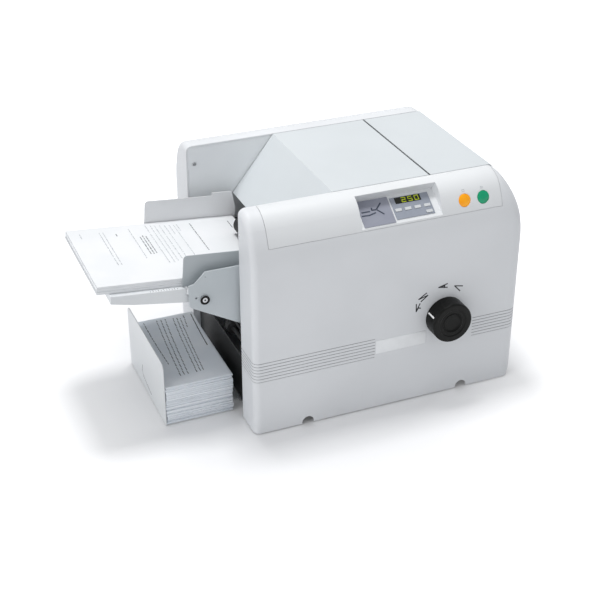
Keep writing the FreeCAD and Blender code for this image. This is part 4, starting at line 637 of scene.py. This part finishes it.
class Paints:
    """Every finish as a material, built the first time it is asked for."""

    def __init__(self) -> None:
        """Build the shared groups."""
        self.effects = Effects()
        self.made: dict[str, bpy.types.Material] = {}

    def get(self, name: str) -> bpy.types.Material:
        """Give the material of a finish.

        Args:
            name: The finish's name.

        Returns:
            The material.
        """
        if name not in self.made:
            self.made[name] = FINISHES[name].build(self.effects)
        return self.made[name]

    def dress_frame(self) -> None:
        """Give every carried-over node its finish, in its own material slots."""
        for finish, names in CAD_FINISHES.items():
            for name in names.split():
                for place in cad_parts[name].material_slots:
                    place.material = self.get(finish)
                log.info("node %s dressed as %s", name, finish)


# ------------------------------------------------------------------ the bench for new pieces

LEFT_WALL = 0.12940769
FRONT_FACE = 0.18145
SHARP = 30.0


def frame_at(x: float, y: float, z: float, turn: Matrix) -> Matrix:
    """Give a turned frame, in metres, at millimetres off the left wall and the front face."""
    return Matrix.Translation((x * MM - LEFT_WALL, y * MM - FRONT_FACE, z * MM)) @ turn


def spin(degrees: float, axis: str) -> Matrix:
    """Give a turn about an axis."""
    return Matrix.Rotation(math.radians(degrees), 4, axis)


@dataclass(frozen=True)
class Layout:
    """The places that several sub-assemblies share, in millimetres off the left wall and front face."""

    pivot_x: float = -56.5
    pivot_z: float = 236.5
    table_slope: float = 5.0
    paper_near: float = 82.5
    paper_far: float = 292.5
    panel: tuple[float, float, float, float] = (187.0, 6.148, 340.0, 35.0)
    plate_thickness: float = 1.2

    def table_frame(self) -> Matrix:
        """Give the feed table's frame: along the slope, across, and off the table."""
        return frame_at(self.pivot_x, 0.0, self.pivot_z, spin(self.table_slope, "Y"))

    def panel_frame(self) -> Matrix:
        """Give the sloped panel's frame: to the right, up the slope, and out of it."""
        return self.front(*self.panel)

    @staticmethod
    def corner() -> Matrix:
        """Give the frame at the left wall and the front face."""
        return frame_at(0.0, 0.0, 0.0, Matrix.Identity(4))

    @staticmethod
    def front(x: float, y: float, z: float, lean: float = 90.0) -> Matrix:
        """Give a frame on a face that looks forward: to the right, up, and out of it; 90 degrees is upright."""
        return frame_at(x, y, z, spin(lean, "X"))


class Piece:
    """A new piece on the bench: a primitive that is shaped in edit mode, then finished and put in its place."""

    def __init__(self, name: str) -> None:
        """Take the object that an operator has just made."""
        self.work = bpy.context.object
        self.rename(name)

    def rename(self, name: str) -> "Piece":
        """Give the piece and its mesh one name."""
        self.work.name = self.work.data.name = name
        return self

    @staticmethod
    def clear_bench() -> None:
        """Deselect everything before an operator works."""
        if bpy.context.mode != "OBJECT":
            bpy.ops.object.mode_set(mode="OBJECT")
        bpy.ops.object.select_all(action="DESELECT")

    @classmethod
    def block(cls, name: str, low: Point, high: Point) -> "Piece":
        """Start a piece as a block between two corners.

        Args:
            name: The piece's name.
            low: The lowest corner, in millimetres.
            high: The highest corner, in millimetres.

        Returns:
            The piece, ready for shaping.
        """
        cls.clear_bench()
        bpy.ops.mesh.primitive_cube_add(size=1.0, location=[(a + b) / 2 * MM for a, b in zip(low, high)])
        made = cls(name)
        made.work.scale = [(b - a) * MM for a, b in zip(low, high)]
        return made.settle()

    @classmethod
    def disc(cls, name: str, foot: float, radius: float, depth: float, corners: int = 48) -> "Piece":
        """Start a piece as a disc round the z axis.

        Args:
            name: The piece's name.
            foot: Its foot's height in millimetres.
            radius: Its radius in millimetres.
            depth: Its own height in millimetres.
            corners: How many sides it has.

        Returns:
            The piece, ready for shaping.
        """
        cls.clear_bench()
        middle = (0.0, 0.0, (foot + depth / 2) * MM)
        bpy.ops.mesh.primitive_cylinder_add(vertices=corners, radius=radius * MM, depth=depth * MM, location=middle)
        return cls(name).settle()

    @staticmethod
    def join(name: str, parts: list["Piece"]) -> "Piece":
        """Join pieces into the first of them.

        Args:
            name: The name of the whole.
            parts: The pieces.

        Returns:
            The whole.
        """
        parts[0].hold()
        for part in parts[1:]:
            part.work.select_set(True)
        if len(parts) > 1:
            bpy.ops.object.join()
        return parts[0].rename(name)

    def hold(self) -> "Piece":
        """Make this the one selected and active object."""
        self.clear_bench()
        self.work.select_set(True)
        bpy.context.view_layer.objects.active = self.work
        return self

    def settle(self) -> "Piece":
        """Take the piece's place, turn and scale up into its mesh."""
        self.hold()
        bpy.ops.object.transform_apply(location=True, rotation=True, scale=True)
        return self

    def pick(self, axis: int) -> "Piece":
        """Select, in edit mode, the faces that look along an axis.

        Args:
            axis: The axis, 0 to 2.

        Returns:
            The piece.
        """
        self.hold()
        bpy.ops.object.mode_set(mode="EDIT")
        bpy.ops.mesh.select_mode(type="FACE")
        bpy.ops.mesh.select_all(action="DESELECT")
        bpy.ops.object.mode_set(mode="OBJECT")
        for face in self.work.data.polygons:
            face.select = face.normal[axis] > 0.9
        bpy.ops.object.mode_set(mode="EDIT")
        return self

    def put_down(self) -> "Piece":
        """Leave edit mode."""
        bpy.ops.object.mode_set(mode="OBJECT")
        return self

    def extrude(self, x: float, y: float, z: float) -> "Piece":
        """Extrude what is selected by millimetres."""
        bpy.ops.mesh.extrude_region_move(TRANSFORM_OT_translate={"value": (x * MM, y * MM, z * MM)})
        return self

    def inset(self, width: float, sink: float) -> "Piece":
        """Inset the selected faces and then sink them.

        Args:
            width: How far in, in millimetres.
            sink: How far down, in millimetres.

        Returns:
            The piece.
        """
        bpy.ops.mesh.inset(thickness=width * MM)
        bpy.ops.transform.translate(value=(0.0, 0.0, -sink * MM))
        return self

    def round_edges(self, width: float, steps: int = 2) -> "Piece":
        """Round the sharp edges with a bevel that is applied.

        Args:
            width: The bevel's width in millimetres.
            steps: Its segments.

        Returns:
            The piece.
        """
        self.hold()
        bevel = self.work.modifiers.new("bevel", "BEVEL")
        bevel.width = width * MM
        bevel.segments = steps
        bevel.limit_method = "ANGLE"
        bevel.angle_limit = math.radians(SHARP)
        bpy.ops.object.modifier_apply(modifier=bevel.name)
        return self

    def smooth(self, angle: float = SHARP) -> "Piece":
        """Shade smooth but for sharp edges.

        Args:
            angle: Edges sharper than this many degrees stay sharp.

        Returns:
            The piece.
        """
        self.hold()
        bpy.ops.object.shade_smooth_by_angle(angle=math.radians(angle))
        return self

    def place(self, where: Matrix) -> "Piece":
        """Put the piece into a frame, with its place in its mesh."""
        self.work.matrix_world = where @ self.work.matrix_world
        return self.settle()

    def again(self, name: str, where: Matrix) -> "Piece":
        """Copy the piece with its own mesh.

        Args:
            name: The copy's name.
            where: The matrix that places it.

        Returns:
            The copy.
        """
        self.hold()
        bpy.ops.object.duplicate(linked=False)
        return Piece(name).place(where)

    def outwards(self) -> "Piece":
        """Merge doubles and point the faces outwards."""
        self.hold()
        bpy.ops.object.mode_set(mode="EDIT")
        bpy.ops.mesh.select_all(action="SELECT")
        bpy.ops.mesh.remove_doubles(threshold=0.000002)
        bpy.ops.mesh.normals_make_consistent(inside=False)
        return self.put_down()


@dataclass(frozen=True)
class Assembly:
    """A sub-assembly of new pieces."""

    layout: Layout
    paints: Paints

    def give(self, piece: Piece, finish: str, body: str, slot: Slot) -> None:
        """Dress a piece, let it ride on its body and report it.

        Args:
            piece: The piece.
            finish: The finish's name.
            body: The body that it rides on.
            slot: The slot for its finish; not used.
        """
        piece.clear_bench()
        made = piece.work
        made.data.materials.clear()
        made.data.materials.append(self.paints.get(finish))
        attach(made, body)
        log.info("piece %s: %d faces, rides on %s", made.name, len(made.data.polygons), body)


@dataclass(frozen=True)
class Stroke:
    """A pen for printed and pressed lines: thin bars that follow points in a flat frame, in millimetres."""

    width: float
    rise: float
    lift: float = 0.0
    overrun: float = 0.6

    def draw(self, name: str, *lines: Line) -> Piece:
        """Draw lines as one piece.

        Args:
            name: The piece's name.
            lines: The corners that each line passes.

        Returns:
            One piece of all their bars.
        """
        half = self.width / 2
        past = half * self.overrun
        bars: list[Piece] = []
        for line in lines:
            for start, end in zip(line, line[1:]):
                across, up = end[0] - start[0], end[1] - start[1]
                tip = (math.hypot(across, up) + past, half, self.lift + self.rise)
                bar = Piece.block(name, (-past, -half, self.lift), tip)
                turn = Matrix.Rotation(math.atan2(up, across), 4, "Z")
                bars.append(bar.place(Matrix.Translation((start[0] * MM, start[1] * MM, 0.0)) @ turn))
        return Piece.join(name, bars)


# ------------------------------------------------------------------ paper


@dataclass(frozen=True)
class PrintedPage:
    """Printed lines on a sheet: each line is a row of thin dashes, one for each word, in millimetres."""

    seed: int
    line_width: float = 1.6
    thickness: float = 0.1
    shortest_word: float = 4.0
    longest_word: float = 13.0
    word_space: float = 1.8
    least_rest: float = 2.0
    bend_start: float = 0.0
    bend_length: float = 1.0
    bend_rise: float = 0.0

    def rise(self, along: float) -> float:
        """Give how far the sheet has risen at a place along y."""
        return self.bend_rise * (max(along - self.bend_start, 0.0) / self.bend_length) ** 2

    def lines(self, name: str, rows: Iterable[Row], height: float) -> Piece:
        """Make the printed lines.

        Args:
            name: The piece's name.
            rows: Each line's place along x at its start, how far it drifts along x, and its start and end along y.
            height: The sheet's height.

        Returns:
            One piece of all the words.
        """
        chance = random.Random(self.seed)
        words: list[Piece] = []
        for place, drift, start, end in rows:
            at = start
            while at < end - self.least_rest:
                length = min(chance.uniform(self.shortest_word, self.longest_word), end - at)
                half = length / 2
                word = Piece.block(name, (0.0, -half, 0.0), (self.line_width, half, self.thickness))
                tip = math.atan2(self.rise(at + length) - self.rise(at), length)
                middle = (place + drift * (at - start) / (end - start), at + half, height + self.rise(at + half))
                word.place(Matrix.Translation(Vector(middle) * MM) @ Matrix.Rotation(tip, 4, "X"))
                words.append(word)
                at += length + self.word_space
        return Piece.join(name, words)


@dataclass(frozen=True)
class WaitingStack(Assembly):
    """The paper that waits on the feed table: reams laid a little out of line."""

    left: float = -171.0
    right: float = 126.0
    foot: float = 19.2
    top: float = 33.0
    play_along: float = 1.5
    play_across: float = 1.0
    edge: float = 0.25
    cuts: tuple[float, ...] = (0.0, 0.30, 0.34, 0.71, 0.75, 1.0)
    slips: Line = ((0.0, 0.0), (1.2, -0.7), (0.4, 0.3), (-0.8, 0.8), (0.6, -0.3))
    faint: tuple[Point, ...] = (
        (-151.0, 255.0, 272.0), (-118.0, 149.0, 271.0), (-112.0, 150.0, 271.0), (-67.0, 163.0, 275.0),
        (-36.0, 139.0, 283.0), (-27.5, 139.0, 281.0), (-20.5, 144.0, 281.0), (-12.0, 150.0, 279.0),
        (-3.5, 154.0, 278.0), (4.5, 240.0, 276.0), (12.0, 158.0, 277.0), (17.5, 250.0, 276.0),
    )
    dark: tuple[Point, ...] = (
        (-92.0, 252.0, 264.0), (-56.0, 177.0, 244.0), (-51.0, 176.0, 246.0), (-46.0, 178.0, 245.0),
        (40.5, 169.0, 278.0), (108.0, 244.0, 271.0),
    )

    def build(self) -> None:
        """Build the stack and print on its top sheet: faint body lines, a few dark words and long lines."""
        near, far = self.layout.paper_near + self.play_across, self.layout.paper_far - self.play_across
        height = self.top - self.foot
        reams: list[Piece] = []
        for start, end, (along, across) in zip(self.cuts, self.cuts[1:], self.slips):
            low = (self.left + self.play_along + along, near + across, self.foot + height * start)
            high = (self.right - self.play_along + along, far + across, self.foot + height * end)
            reams.append(Piece.block("waiting_stack", low, high).round_edges(self.edge))
        stack = Piece.join("waiting_stack", reams).smooth().place(self.layout.table_frame())
        self.give(stack, "stack_paper", "chassis", Slot.PAPER)
        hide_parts("feed_paper_stack")
        prints = (("stack_print", "faint_ink", self.faint), ("stack_heading", "dark_ink", self.dark))
        for name, finish, rows in prints:
            page = PrintedPage(5).lines(name, [(place, 0.0, start, end) for place, start, end in rows], self.top)
            self.give(page.place(self.layout.table_frame()), finish, "chassis", Slot.PAPER)


@dataclass(frozen=True)
class FoldedPile(Assembly):
    """The folded letters against the delivery stop, the top ones rising towards the far side."""

    left: float = -125.7
    right: float = -9.5
    foot: float = 2.6
    top: float = 74.0
    count: int = 19
    seed: int = 8
    closed_share: float = 0.86
    open_share: float = 0.75
    edge_share: float = 0.22
    slip_along: float = 1.8
    slip_across: float = 1.6
    skew: float = 0.25
    sheet_left: float = 0.8
    sheet_inset: float = 0.6
    sheet_depth: float = 0.7
    bend_start: float = 190.0
    bend_rise: float = 7.0
    bend_steps: int = 10
    text: tuple[Row, ...] = (
        (-99.0, -4.0, 150.0, 286.0), (-90.6, 12.0, 109.0, 286.0), (-83.8, 13.0, 110.0, 286.0),
        (-77.0, 14.0, 110.0, 286.0), (-62.0, 13.0, 110.0, 284.0), (-55.2, 13.0, 111.0, 284.0),
        (-49.8, 13.5, 112.0, 284.0), (-32.8, 4.0, 250.0, 286.0),
    )
    rule: Row = (-18.6, 3.4, 184.0, 286.0)

    def letter(self, depth: float) -> Piece:
        """Model one folded letter, its leaves parted at the open side.

        Args:
            depth: Its thickness in millimetres.

        Returns:
            The letter.
        """
        low = (self.left, self.layout.paper_near, self.foot)
        high = (self.right, self.layout.paper_far, self.foot + depth * self.closed_share)
        leaf = Piece.block("folded_letter", low, high).pick(0)
        leaf.extrude(0.0, 0.0, 0.0)
        bpy.ops.transform.resize(value=(1.0, 1.0, self.open_share))
        return leaf.put_down().round_edges(depth * self.edge_share)

    def hand(self, piece: Piece, finish: str) -> None:
        """Place a piece from the corner's frame and let it ride on the delivery stop."""
        self.give(piece.place(self.layout.corner()), finish, "delivery_stop", Slot.PAPER)

    def build(self) -> None:
        """Stack the letters with small offsets, then lay and print the top one."""
        chance = random.Random(self.seed)
        depth = (self.top - self.foot) / self.count
        letters = [self.letter(depth)]
        for index in range(1, self.count):
            along = chance.uniform(0.0, self.slip_along)
            slip = Vector((along, chance.uniform(-self.slip_across, self.slip_across), index * depth)) * MM
            tilt = spin(chance.uniform(-self.skew, self.skew), "Z")
            letters.append(letters[0].again("folded_letter", Matrix.Translation(slip) @ tilt))
        pile = Piece.join("letter_pile", letters).smooth(40.0)
        self.hand(pile, "letter_paper")
        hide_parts("folded_paper_stack")
        self.top_letter()

    def top_letter(self) -> None:
        """Model the top letter, which rises towards its far end, and print on it."""
        length = self.layout.paper_far - self.bend_start
        bend = PrintedPage(3, bend_start=self.bend_start, bend_length=length, bend_rise=self.bend_rise)
        face = self.top + self.sheet_depth
        low = (self.left + self.sheet_left, self.layout.paper_near + self.sheet_inset, self.top)
        sheet = Piece.block("top_letter", low, (self.right - self.sheet_inset, self.bend_start, face))
        sheet.pick(1)
        step = length / self.bend_steps
        for index in range(self.bend_steps):
            here = self.bend_start + index * step
            sheet.extrude(0.0, step, bend.rise(here + step) - bend.rise(here))
        self.hand(sheet.put_down().smooth(20.0), "letter_paper")
        self.hand(bend.lines("letter_print", self.text, face), "dark_ink")
        self.hand(replace(bend, word_space=0.0).lines("letter_rule", [self.rule], face), "mark_ink")


# ------------------------------------------------------------------ marks and prints


FOLD_SYMBOLS: dict[str, tuple[Line, ...]] = {
    "fold_symbol_letter": (
        ((-54.6, 33.2), (-54.2, 19.0), (-48.0, 33.0)), ((-54.2, 19.0), (-50.6, 25.6), (-46.6, 24.0))),
    "fold_symbol_double": (((-36.8, 50.6), (-50.4, 41.6), (-34.1, 45.9), (-46.1, 36.5)),),
    "fold_symbol_gate": (
        ((1.2, 60.4), (-14.6, 56.5), (1.4, 53.5)), ((-3.8, 59.0), (-3.4, 53.8)), ((-9.0, 56.6), (-3.6, 57.6))),
    "fold_symbol_single": (((30.3, 50.1), (15.3, 53.3), (25.7, 41.7)),),
}


@dataclass(frozen=True)
class KnobMarks(Assembly):
    """The white bar along the fold selector's side and the four fold symbols around it."""

    knob_x: float = 341.0
    knob_z: float = 154.0
    radius: float = 35.5
    angle: float = 157.0
    bar_half: float = 1.6
    bar_start: float = 3.0
    bar_end: float = 22.5
    bar_sink: float = 1.0
    bar_rise: float = 0.25
    pen: Stroke = Stroke(2.0, 0.15)

    def build(self) -> None:
        """Sink the bar into the knob's side and draw the folds: letter, double, gate and single."""
        where = self.layout.front(self.knob_x, 0.0, self.knob_z)
        low = (self.radius - self.bar_sink, -self.bar_half, self.bar_start)
        high = (self.radius + self.bar_rise, self.bar_half, self.bar_end)
        bar = Piece.block("selector_pointer", low, high).round_edges(0.5, 3).place(where @ spin(self.angle, "Z"))
        self.give(bar.smooth(), "white_mark", "selector", Slot.BLACK_PLASTIC)
        for name, lines in FOLD_SYMBOLS.items():
            mark = self.pen.draw(name, *lines).place(where)
            self.give(mark, "mark_ink", "chassis", Slot.HOUSING)


LIT_BARS: dict[str, str] = {"0": "abcdef", "2": "abged", "5": "afgcd"}


@dataclass(frozen=True)
class PanelPrint(Assembly):
    """The lit digits of the display and the folding diagram on the plate beside it."""

    digits: str = "250"
    first_digit: float = 83.2
    digit_pitch: float = 11.4
    digit_low: float = 35.2
    digit_width: float = 6.4
    digit_height: float = 7.8
    digit_pen: Stroke = Stroke(1.4, 0.12, Layout.plate_thickness)
    diagram_pen: Stroke = Stroke(2.4, 0.1, Layout.plate_thickness)
    diagram: tuple[Line, ...] = (
        ((9.5, 28.8), (23.1, 28.8)), ((7.9, 22.6), (20.9, 22.2), (32.1, 24.9)),
        ((28.0, 34.2), (27.4, 30.4), (34.7, 30.0)), ((36.0, 31.0), (45.6, 40.3)), ((36.6, 29.0), (45.0, 20.2)),
    )

    def bars(self, sign: str, left: float) -> list[Line]:
        """Give the lit bars of one digit.

        Args:
            sign: The digit.
            left: Its left edge in millimetres.

        Returns:
            Each bar's two ends.
        """
        right, low = left + self.digit_width, self.digit_low
        middle, top = low + self.digit_height / 2, low + self.digit_height
        ends = {
            "a": ((left, top), (right, top)), "b": ((right, middle), (right, top)),
            "c": ((right, low), (right, middle)), "d": ((left, low), (right, low)),
            "e": ((left, low), (left, middle)), "f": ((left, middle), (left, top)),
            "g": ((left, middle), (right, middle)),
        }
        return [ends[name] for name in LIT_BARS[sign]]

    def build(self) -> None:
        """Make the digits and the diagram."""
        where = self.layout.panel_frame()
        for index, sign in enumerate(self.digits):
            lines = self.bars(sign, self.first_digit + index * self.digit_pitch)
            digit = self.digit_pen.draw(f"display_digit_{index + 1}", *lines).place(where)
            self.give(digit, "digit", "chassis", Slot.DISPLAY)
        drawing = self.diagram_pen.draw("folding_diagram", *self.diagram).place(where)
        self.give(drawing, "diagram_ink", "chassis", Slot.DIAGRAM_FILM)


@dataclass(frozen=True)
class SmallTrim(Assembly):
    """The bare name plate, the marks over the buttons, bolt rings, table scale and the painted shade of the stop
    plate's crease.
    """

    plate_low: Point = (215.0, 108.0, 0.0)
    plate_high: Point = (307.0, 132.5, 0.4)
    plate_edge: float = 0.15
    marks: tuple[tuple[str, float, Line], ...] = (
        ("stop_mark", 371.0, ((-2.0, -1.6), (2.0, -1.6), (2.0, 1.6), (-2.0, 1.6), (-2.0, -1.6))),
        ("start_mark", 405.0, ((-1.8, -1.8), (2.2, 0.0), (-1.8, 1.8), (-1.8, -1.8))),
    )
    mark_y: float = 20.0
    mark_z: float = 369.4
    mark_lean: float = 54.0
    mark_pen: Stroke = Stroke(0.7, 0.1)
    bolt_face: float = 63.0
    ring_radius: float = 7.9
    ring_depth: float = 0.5
    ring_inset: float = 3.6
    ring_sink: float = 0.35
    ring_edge: float = 0.12
    discs: tuple[tuple[str, str, float, float, float, int], ...] = (
        ("bolt_socket", "black_plastic", 0.18, 1.7, 0.25, 6), ("bolt_centre", "zinc", 0.1, 4.1, 0.2, 48),
    )
    scale_start: float = -86.0
    scale_pitch: float = 4.4
    scale_count: int = 11
    scale_foot: float = 74.5
    scale_reach: tuple[float, float] = (3.6, 6.0)
    scale_pen: Stroke = Stroke(0.5, 0.06, 18.8)
    stop_face: float = -127.5
    # painted shade: a dark line drawn where the crease in the stop plate holds shade
    stop_curve: Line = ((213.0, 44.0), (216.0, 32.0), (211.0, 23.5), (197.0, 19.0), (181.0, 15.5), (164.0, 12.0))
    stop_pen: Stroke = Stroke(0.9, 0.12)

    def name_plate(self) -> None:
        """Model the bare plate as a thin slab with rounded edges."""
        plate = Piece.block("name_plate", self.plate_low, self.plate_high).round_edges(self.plate_edge)
        plate.place(self.layout.front(0.0, 0.0, 0.0)).smooth()
        self.give(plate, "plate_film", "chassis", Slot.HOUSING)

    def button_marks(self) -> None:
        """Draw a small square over the stop button and a triangle over the start button."""
        for name, x, line in self.marks:
            where = self.layout.front(x, self.mark_y, self.mark_z, self.mark_lean)
            self.give(self.mark_pen.draw(name, line).place(where), "faint_mark", "chassis", Slot.STRIP)

    def bolt_rings(self) -> None:
        """Turn a black washer, a small dark socket and a plated centre for the near hinge bolt."""
        where = self.layout.front(self.layout.pivot_x, self.bolt_face, self.layout.pivot_z)
        ring = Piece.disc("bolt_ring", 0.0, self.ring_radius, self.ring_depth).pick(2)
        ring.inset(self.ring_inset, self.ring_sink).put_down().round_edges(self.ring_edge).place(where).smooth()
        self.give(ring, "black_plastic", "chassis", Slot.ZINC)
        for name, finish, *sizes in self.discs:
            self.give(Piece.disc(name, *sizes).place(where), finish, "chassis", Slot.ZINC)

    def table_scale(self) -> None:
        """Mark the length scale along the flap's near margin: a tick for every step, each second one longer."""
        steps = range(self.scale_count)
        places = [(self.scale_start + self.scale_pitch * index, self.scale_reach[index % 2]) for index in steps]
        ticks = [((along, self.scale_foot), (along, self.scale_foot + reach)) for along, reach in places]
        scale = self.scale_pen.draw("table_scale", *ticks).place(self.layout.table_frame())
        self.give(scale, "mark_ink", "table_extension", Slot.COVER_SHEET)

    def stop_line(self) -> None:
        """Draw in dark ink the thin curved line that stands for the crease pressed into the stop plate's outer face:
        painted shade.
        """
        turn = Matrix(((0.0, 0.0, -1.0), (1.0, 0.0, 0.0), (0.0, 1.0, 0.0))).to_4x4()
        line = self.stop_pen.draw("stop_plate_line", self.stop_curve)
        line.place(frame_at(self.stop_face, 0.0, 0.0, turn)).outwards()
        self.give(line, "mark_ink", "delivery_stop", Slot.COVER_SHEET)

    def build(self) -> None:
        """Make every small trim."""
        for make in (self.name_plate, self.button_marks, self.bolt_rings, self.table_scale, self.stop_line):
            make()


# ------------------------------------------------------------------ the room and the camera


@dataclass(frozen=True)
class Studio:
    """A pale floor, soft light and the camera, in metres, watts and degrees."""

    camera_place: Point = (-0.70967, -1.78401, 1.23476)
    heading: float = 22.37
    drop: float = 29.84
    lens: float = 76.30
    sensor: float = 36.0
    sight: float = 50.0
    lit_place: Point = (0.0, 0.0, 0.18)
    lamps: tuple[tuple[str, Point, float, float], ...] = (
        ("key_light", (0.0, 0.3, 2.6), 31.0, 0.55), ("fill_light", (-2.6, -1.0, 1.3), 18.0, 1.6),
    )
    floor_side: float = 12.0
    floor_cells: int = 8
    floor_tone: Colour = (0.86, 0.86, 0.87)
    floor_rough: float = 0.35
    # the floor's glow for the camera: distances, then strengths; low near the machine, a painted shade round it
    floor_glow_and_painted_shade: tuple[float, float, float, float] = (0.27, 0.75, 0.04, 0.62)
    white: Colour = (1.0, 1.0, 1.0)
    room_tone: Colour = (0.97, 0.985, 1.0)
    room_light: float = 0.60

    @staticmethod
    def hang(holds: bpy.types.ID, place: Point, aim: Vector) -> bpy.types.Object:
        """Hang a camera or a lamp in the room.

        Args:
            holds: The camera's or lamp's data.
            place: Where it hangs.
            aim: The way it looks.

        Returns:
            Its object.
        """
        holder = bpy.data.objects.new(holds.name, holds)
        bpy.context.scene.collection.objects.link(holder)
        holder.location = place
        holder.rotation_mode = "QUATERNION"
        holder.rotation_quaternion = aim.to_track_quat("-Z", "Y")
        return holder

    def camera(self) -> None:
        """Set the camera at its place and aim."""
        made = bpy.data.cameras.new("camera")
        made.lens = self.lens
        made.sensor_width = self.sensor
        made.clip_end = self.sight
        turn, tip = math.radians(self.heading), math.radians(self.drop)
        aim = Vector((math.sin(turn) * math.cos(tip), math.cos(turn) * math.cos(tip), -math.sin(tip)))
        bpy.context.scene.camera = self.hang(made, self.camera_place, aim)

    def light(self) -> None:
        """Hang the square soft lamps, which look at the machine."""
        for name, place, power, side in self.lamps:
            made = bpy.data.lights.new(name, "AREA")
            made.energy = power
            made.size = side
            self.hang(made, place, Vector(self.lit_place) - Vector(place))

    def floor(self) -> None:
        """Lay the floor, whose own light for the camera keeps it white beside its shadows; that light fades towards
        the machine, which paints shade round its foot.
        """
        Piece.clear_bench()
        cells = self.floor_cells
        bpy.ops.mesh.primitive_grid_add(x_subdivisions=cells, y_subdivisions=cells, size=self.floor_side)
        plane = Piece("floor")
        material = bpy.data.materials.new("pale_floor")
        skin = Skin(material)
        rays = skin.node("LightPath").outputs
        seen = skin.maths("MAXIMUM", rays["Is Camera Ray"], rays["Is Glossy Ray"])
        seen = skin.maths("MAXIMUM", seen, rays["Is Transmission Ray"])
        # painted shade: the glow grows with distance from the floor's middle, so the floor near the machine is left
        # darker
        reach = skin.node("VectorMath", {0: skin.place}, operation="LENGTH").outputs["Value"]
        spans = dict(zip(("From Min", "From Max", "To Min", "To Max"), self.floor_glow_and_painted_shade))
        glow = skin.node("MapRange", {"Value": reach, **spans}).outputs["Result"]
        skin.put(Base_Color=self.floor_tone, Roughness=self.floor_rough, Emission_Color=self.white,
                 Emission_Strength=skin.product(seen, glow))
        plane.work.data.materials.append(material)

    def world(self) -> None:
        """Fill the room with plain soft light; the camera sees it white."""
        room = bpy.data.worlds.new("room")
        bpy.context.scene.world = room
        room.use_nodes = True
        room.node_tree.nodes.clear()
        bench = ShaderBench(room.node_tree)
        soft = bench.node("Background", {"Color": self.room_tone, "Strength": self.room_light}).outputs[0]
        white = bench.node("Background", {"Color": self.white, "Strength": 1.0}).outputs[0]
        rays = bench.node("LightPath").outputs
        seen = bench.maths("MAXIMUM", rays["Is Camera Ray"], rays["Is Transmission Ray"])
        bench.node("OutputWorld", {"Surface": bench.node("MixShader", {0: seen, 1: soft, 2: white}).outputs[0]})

    def build(self) -> None:
        """Set everything up."""
        for make in (self.camera, self.floor, self.world, self.light):
            make()
        bpy.context.scene.view_settings.view_transform = "Standard"


def main() -> None:
    """Build the machine's dress in order and report each piece."""
    logging.basicConfig(level=logging.INFO, format="%(message)s")
    Studio().build()
    paints = Paints()
    paints.dress_frame()
    layout = Layout()
    for assembly in (WaitingStack, FoldedPile, KnobMarks, PanelPrint, SmallTrim):
        assembly(layout, paints).build()


if __name__ == "__main__":
    main()
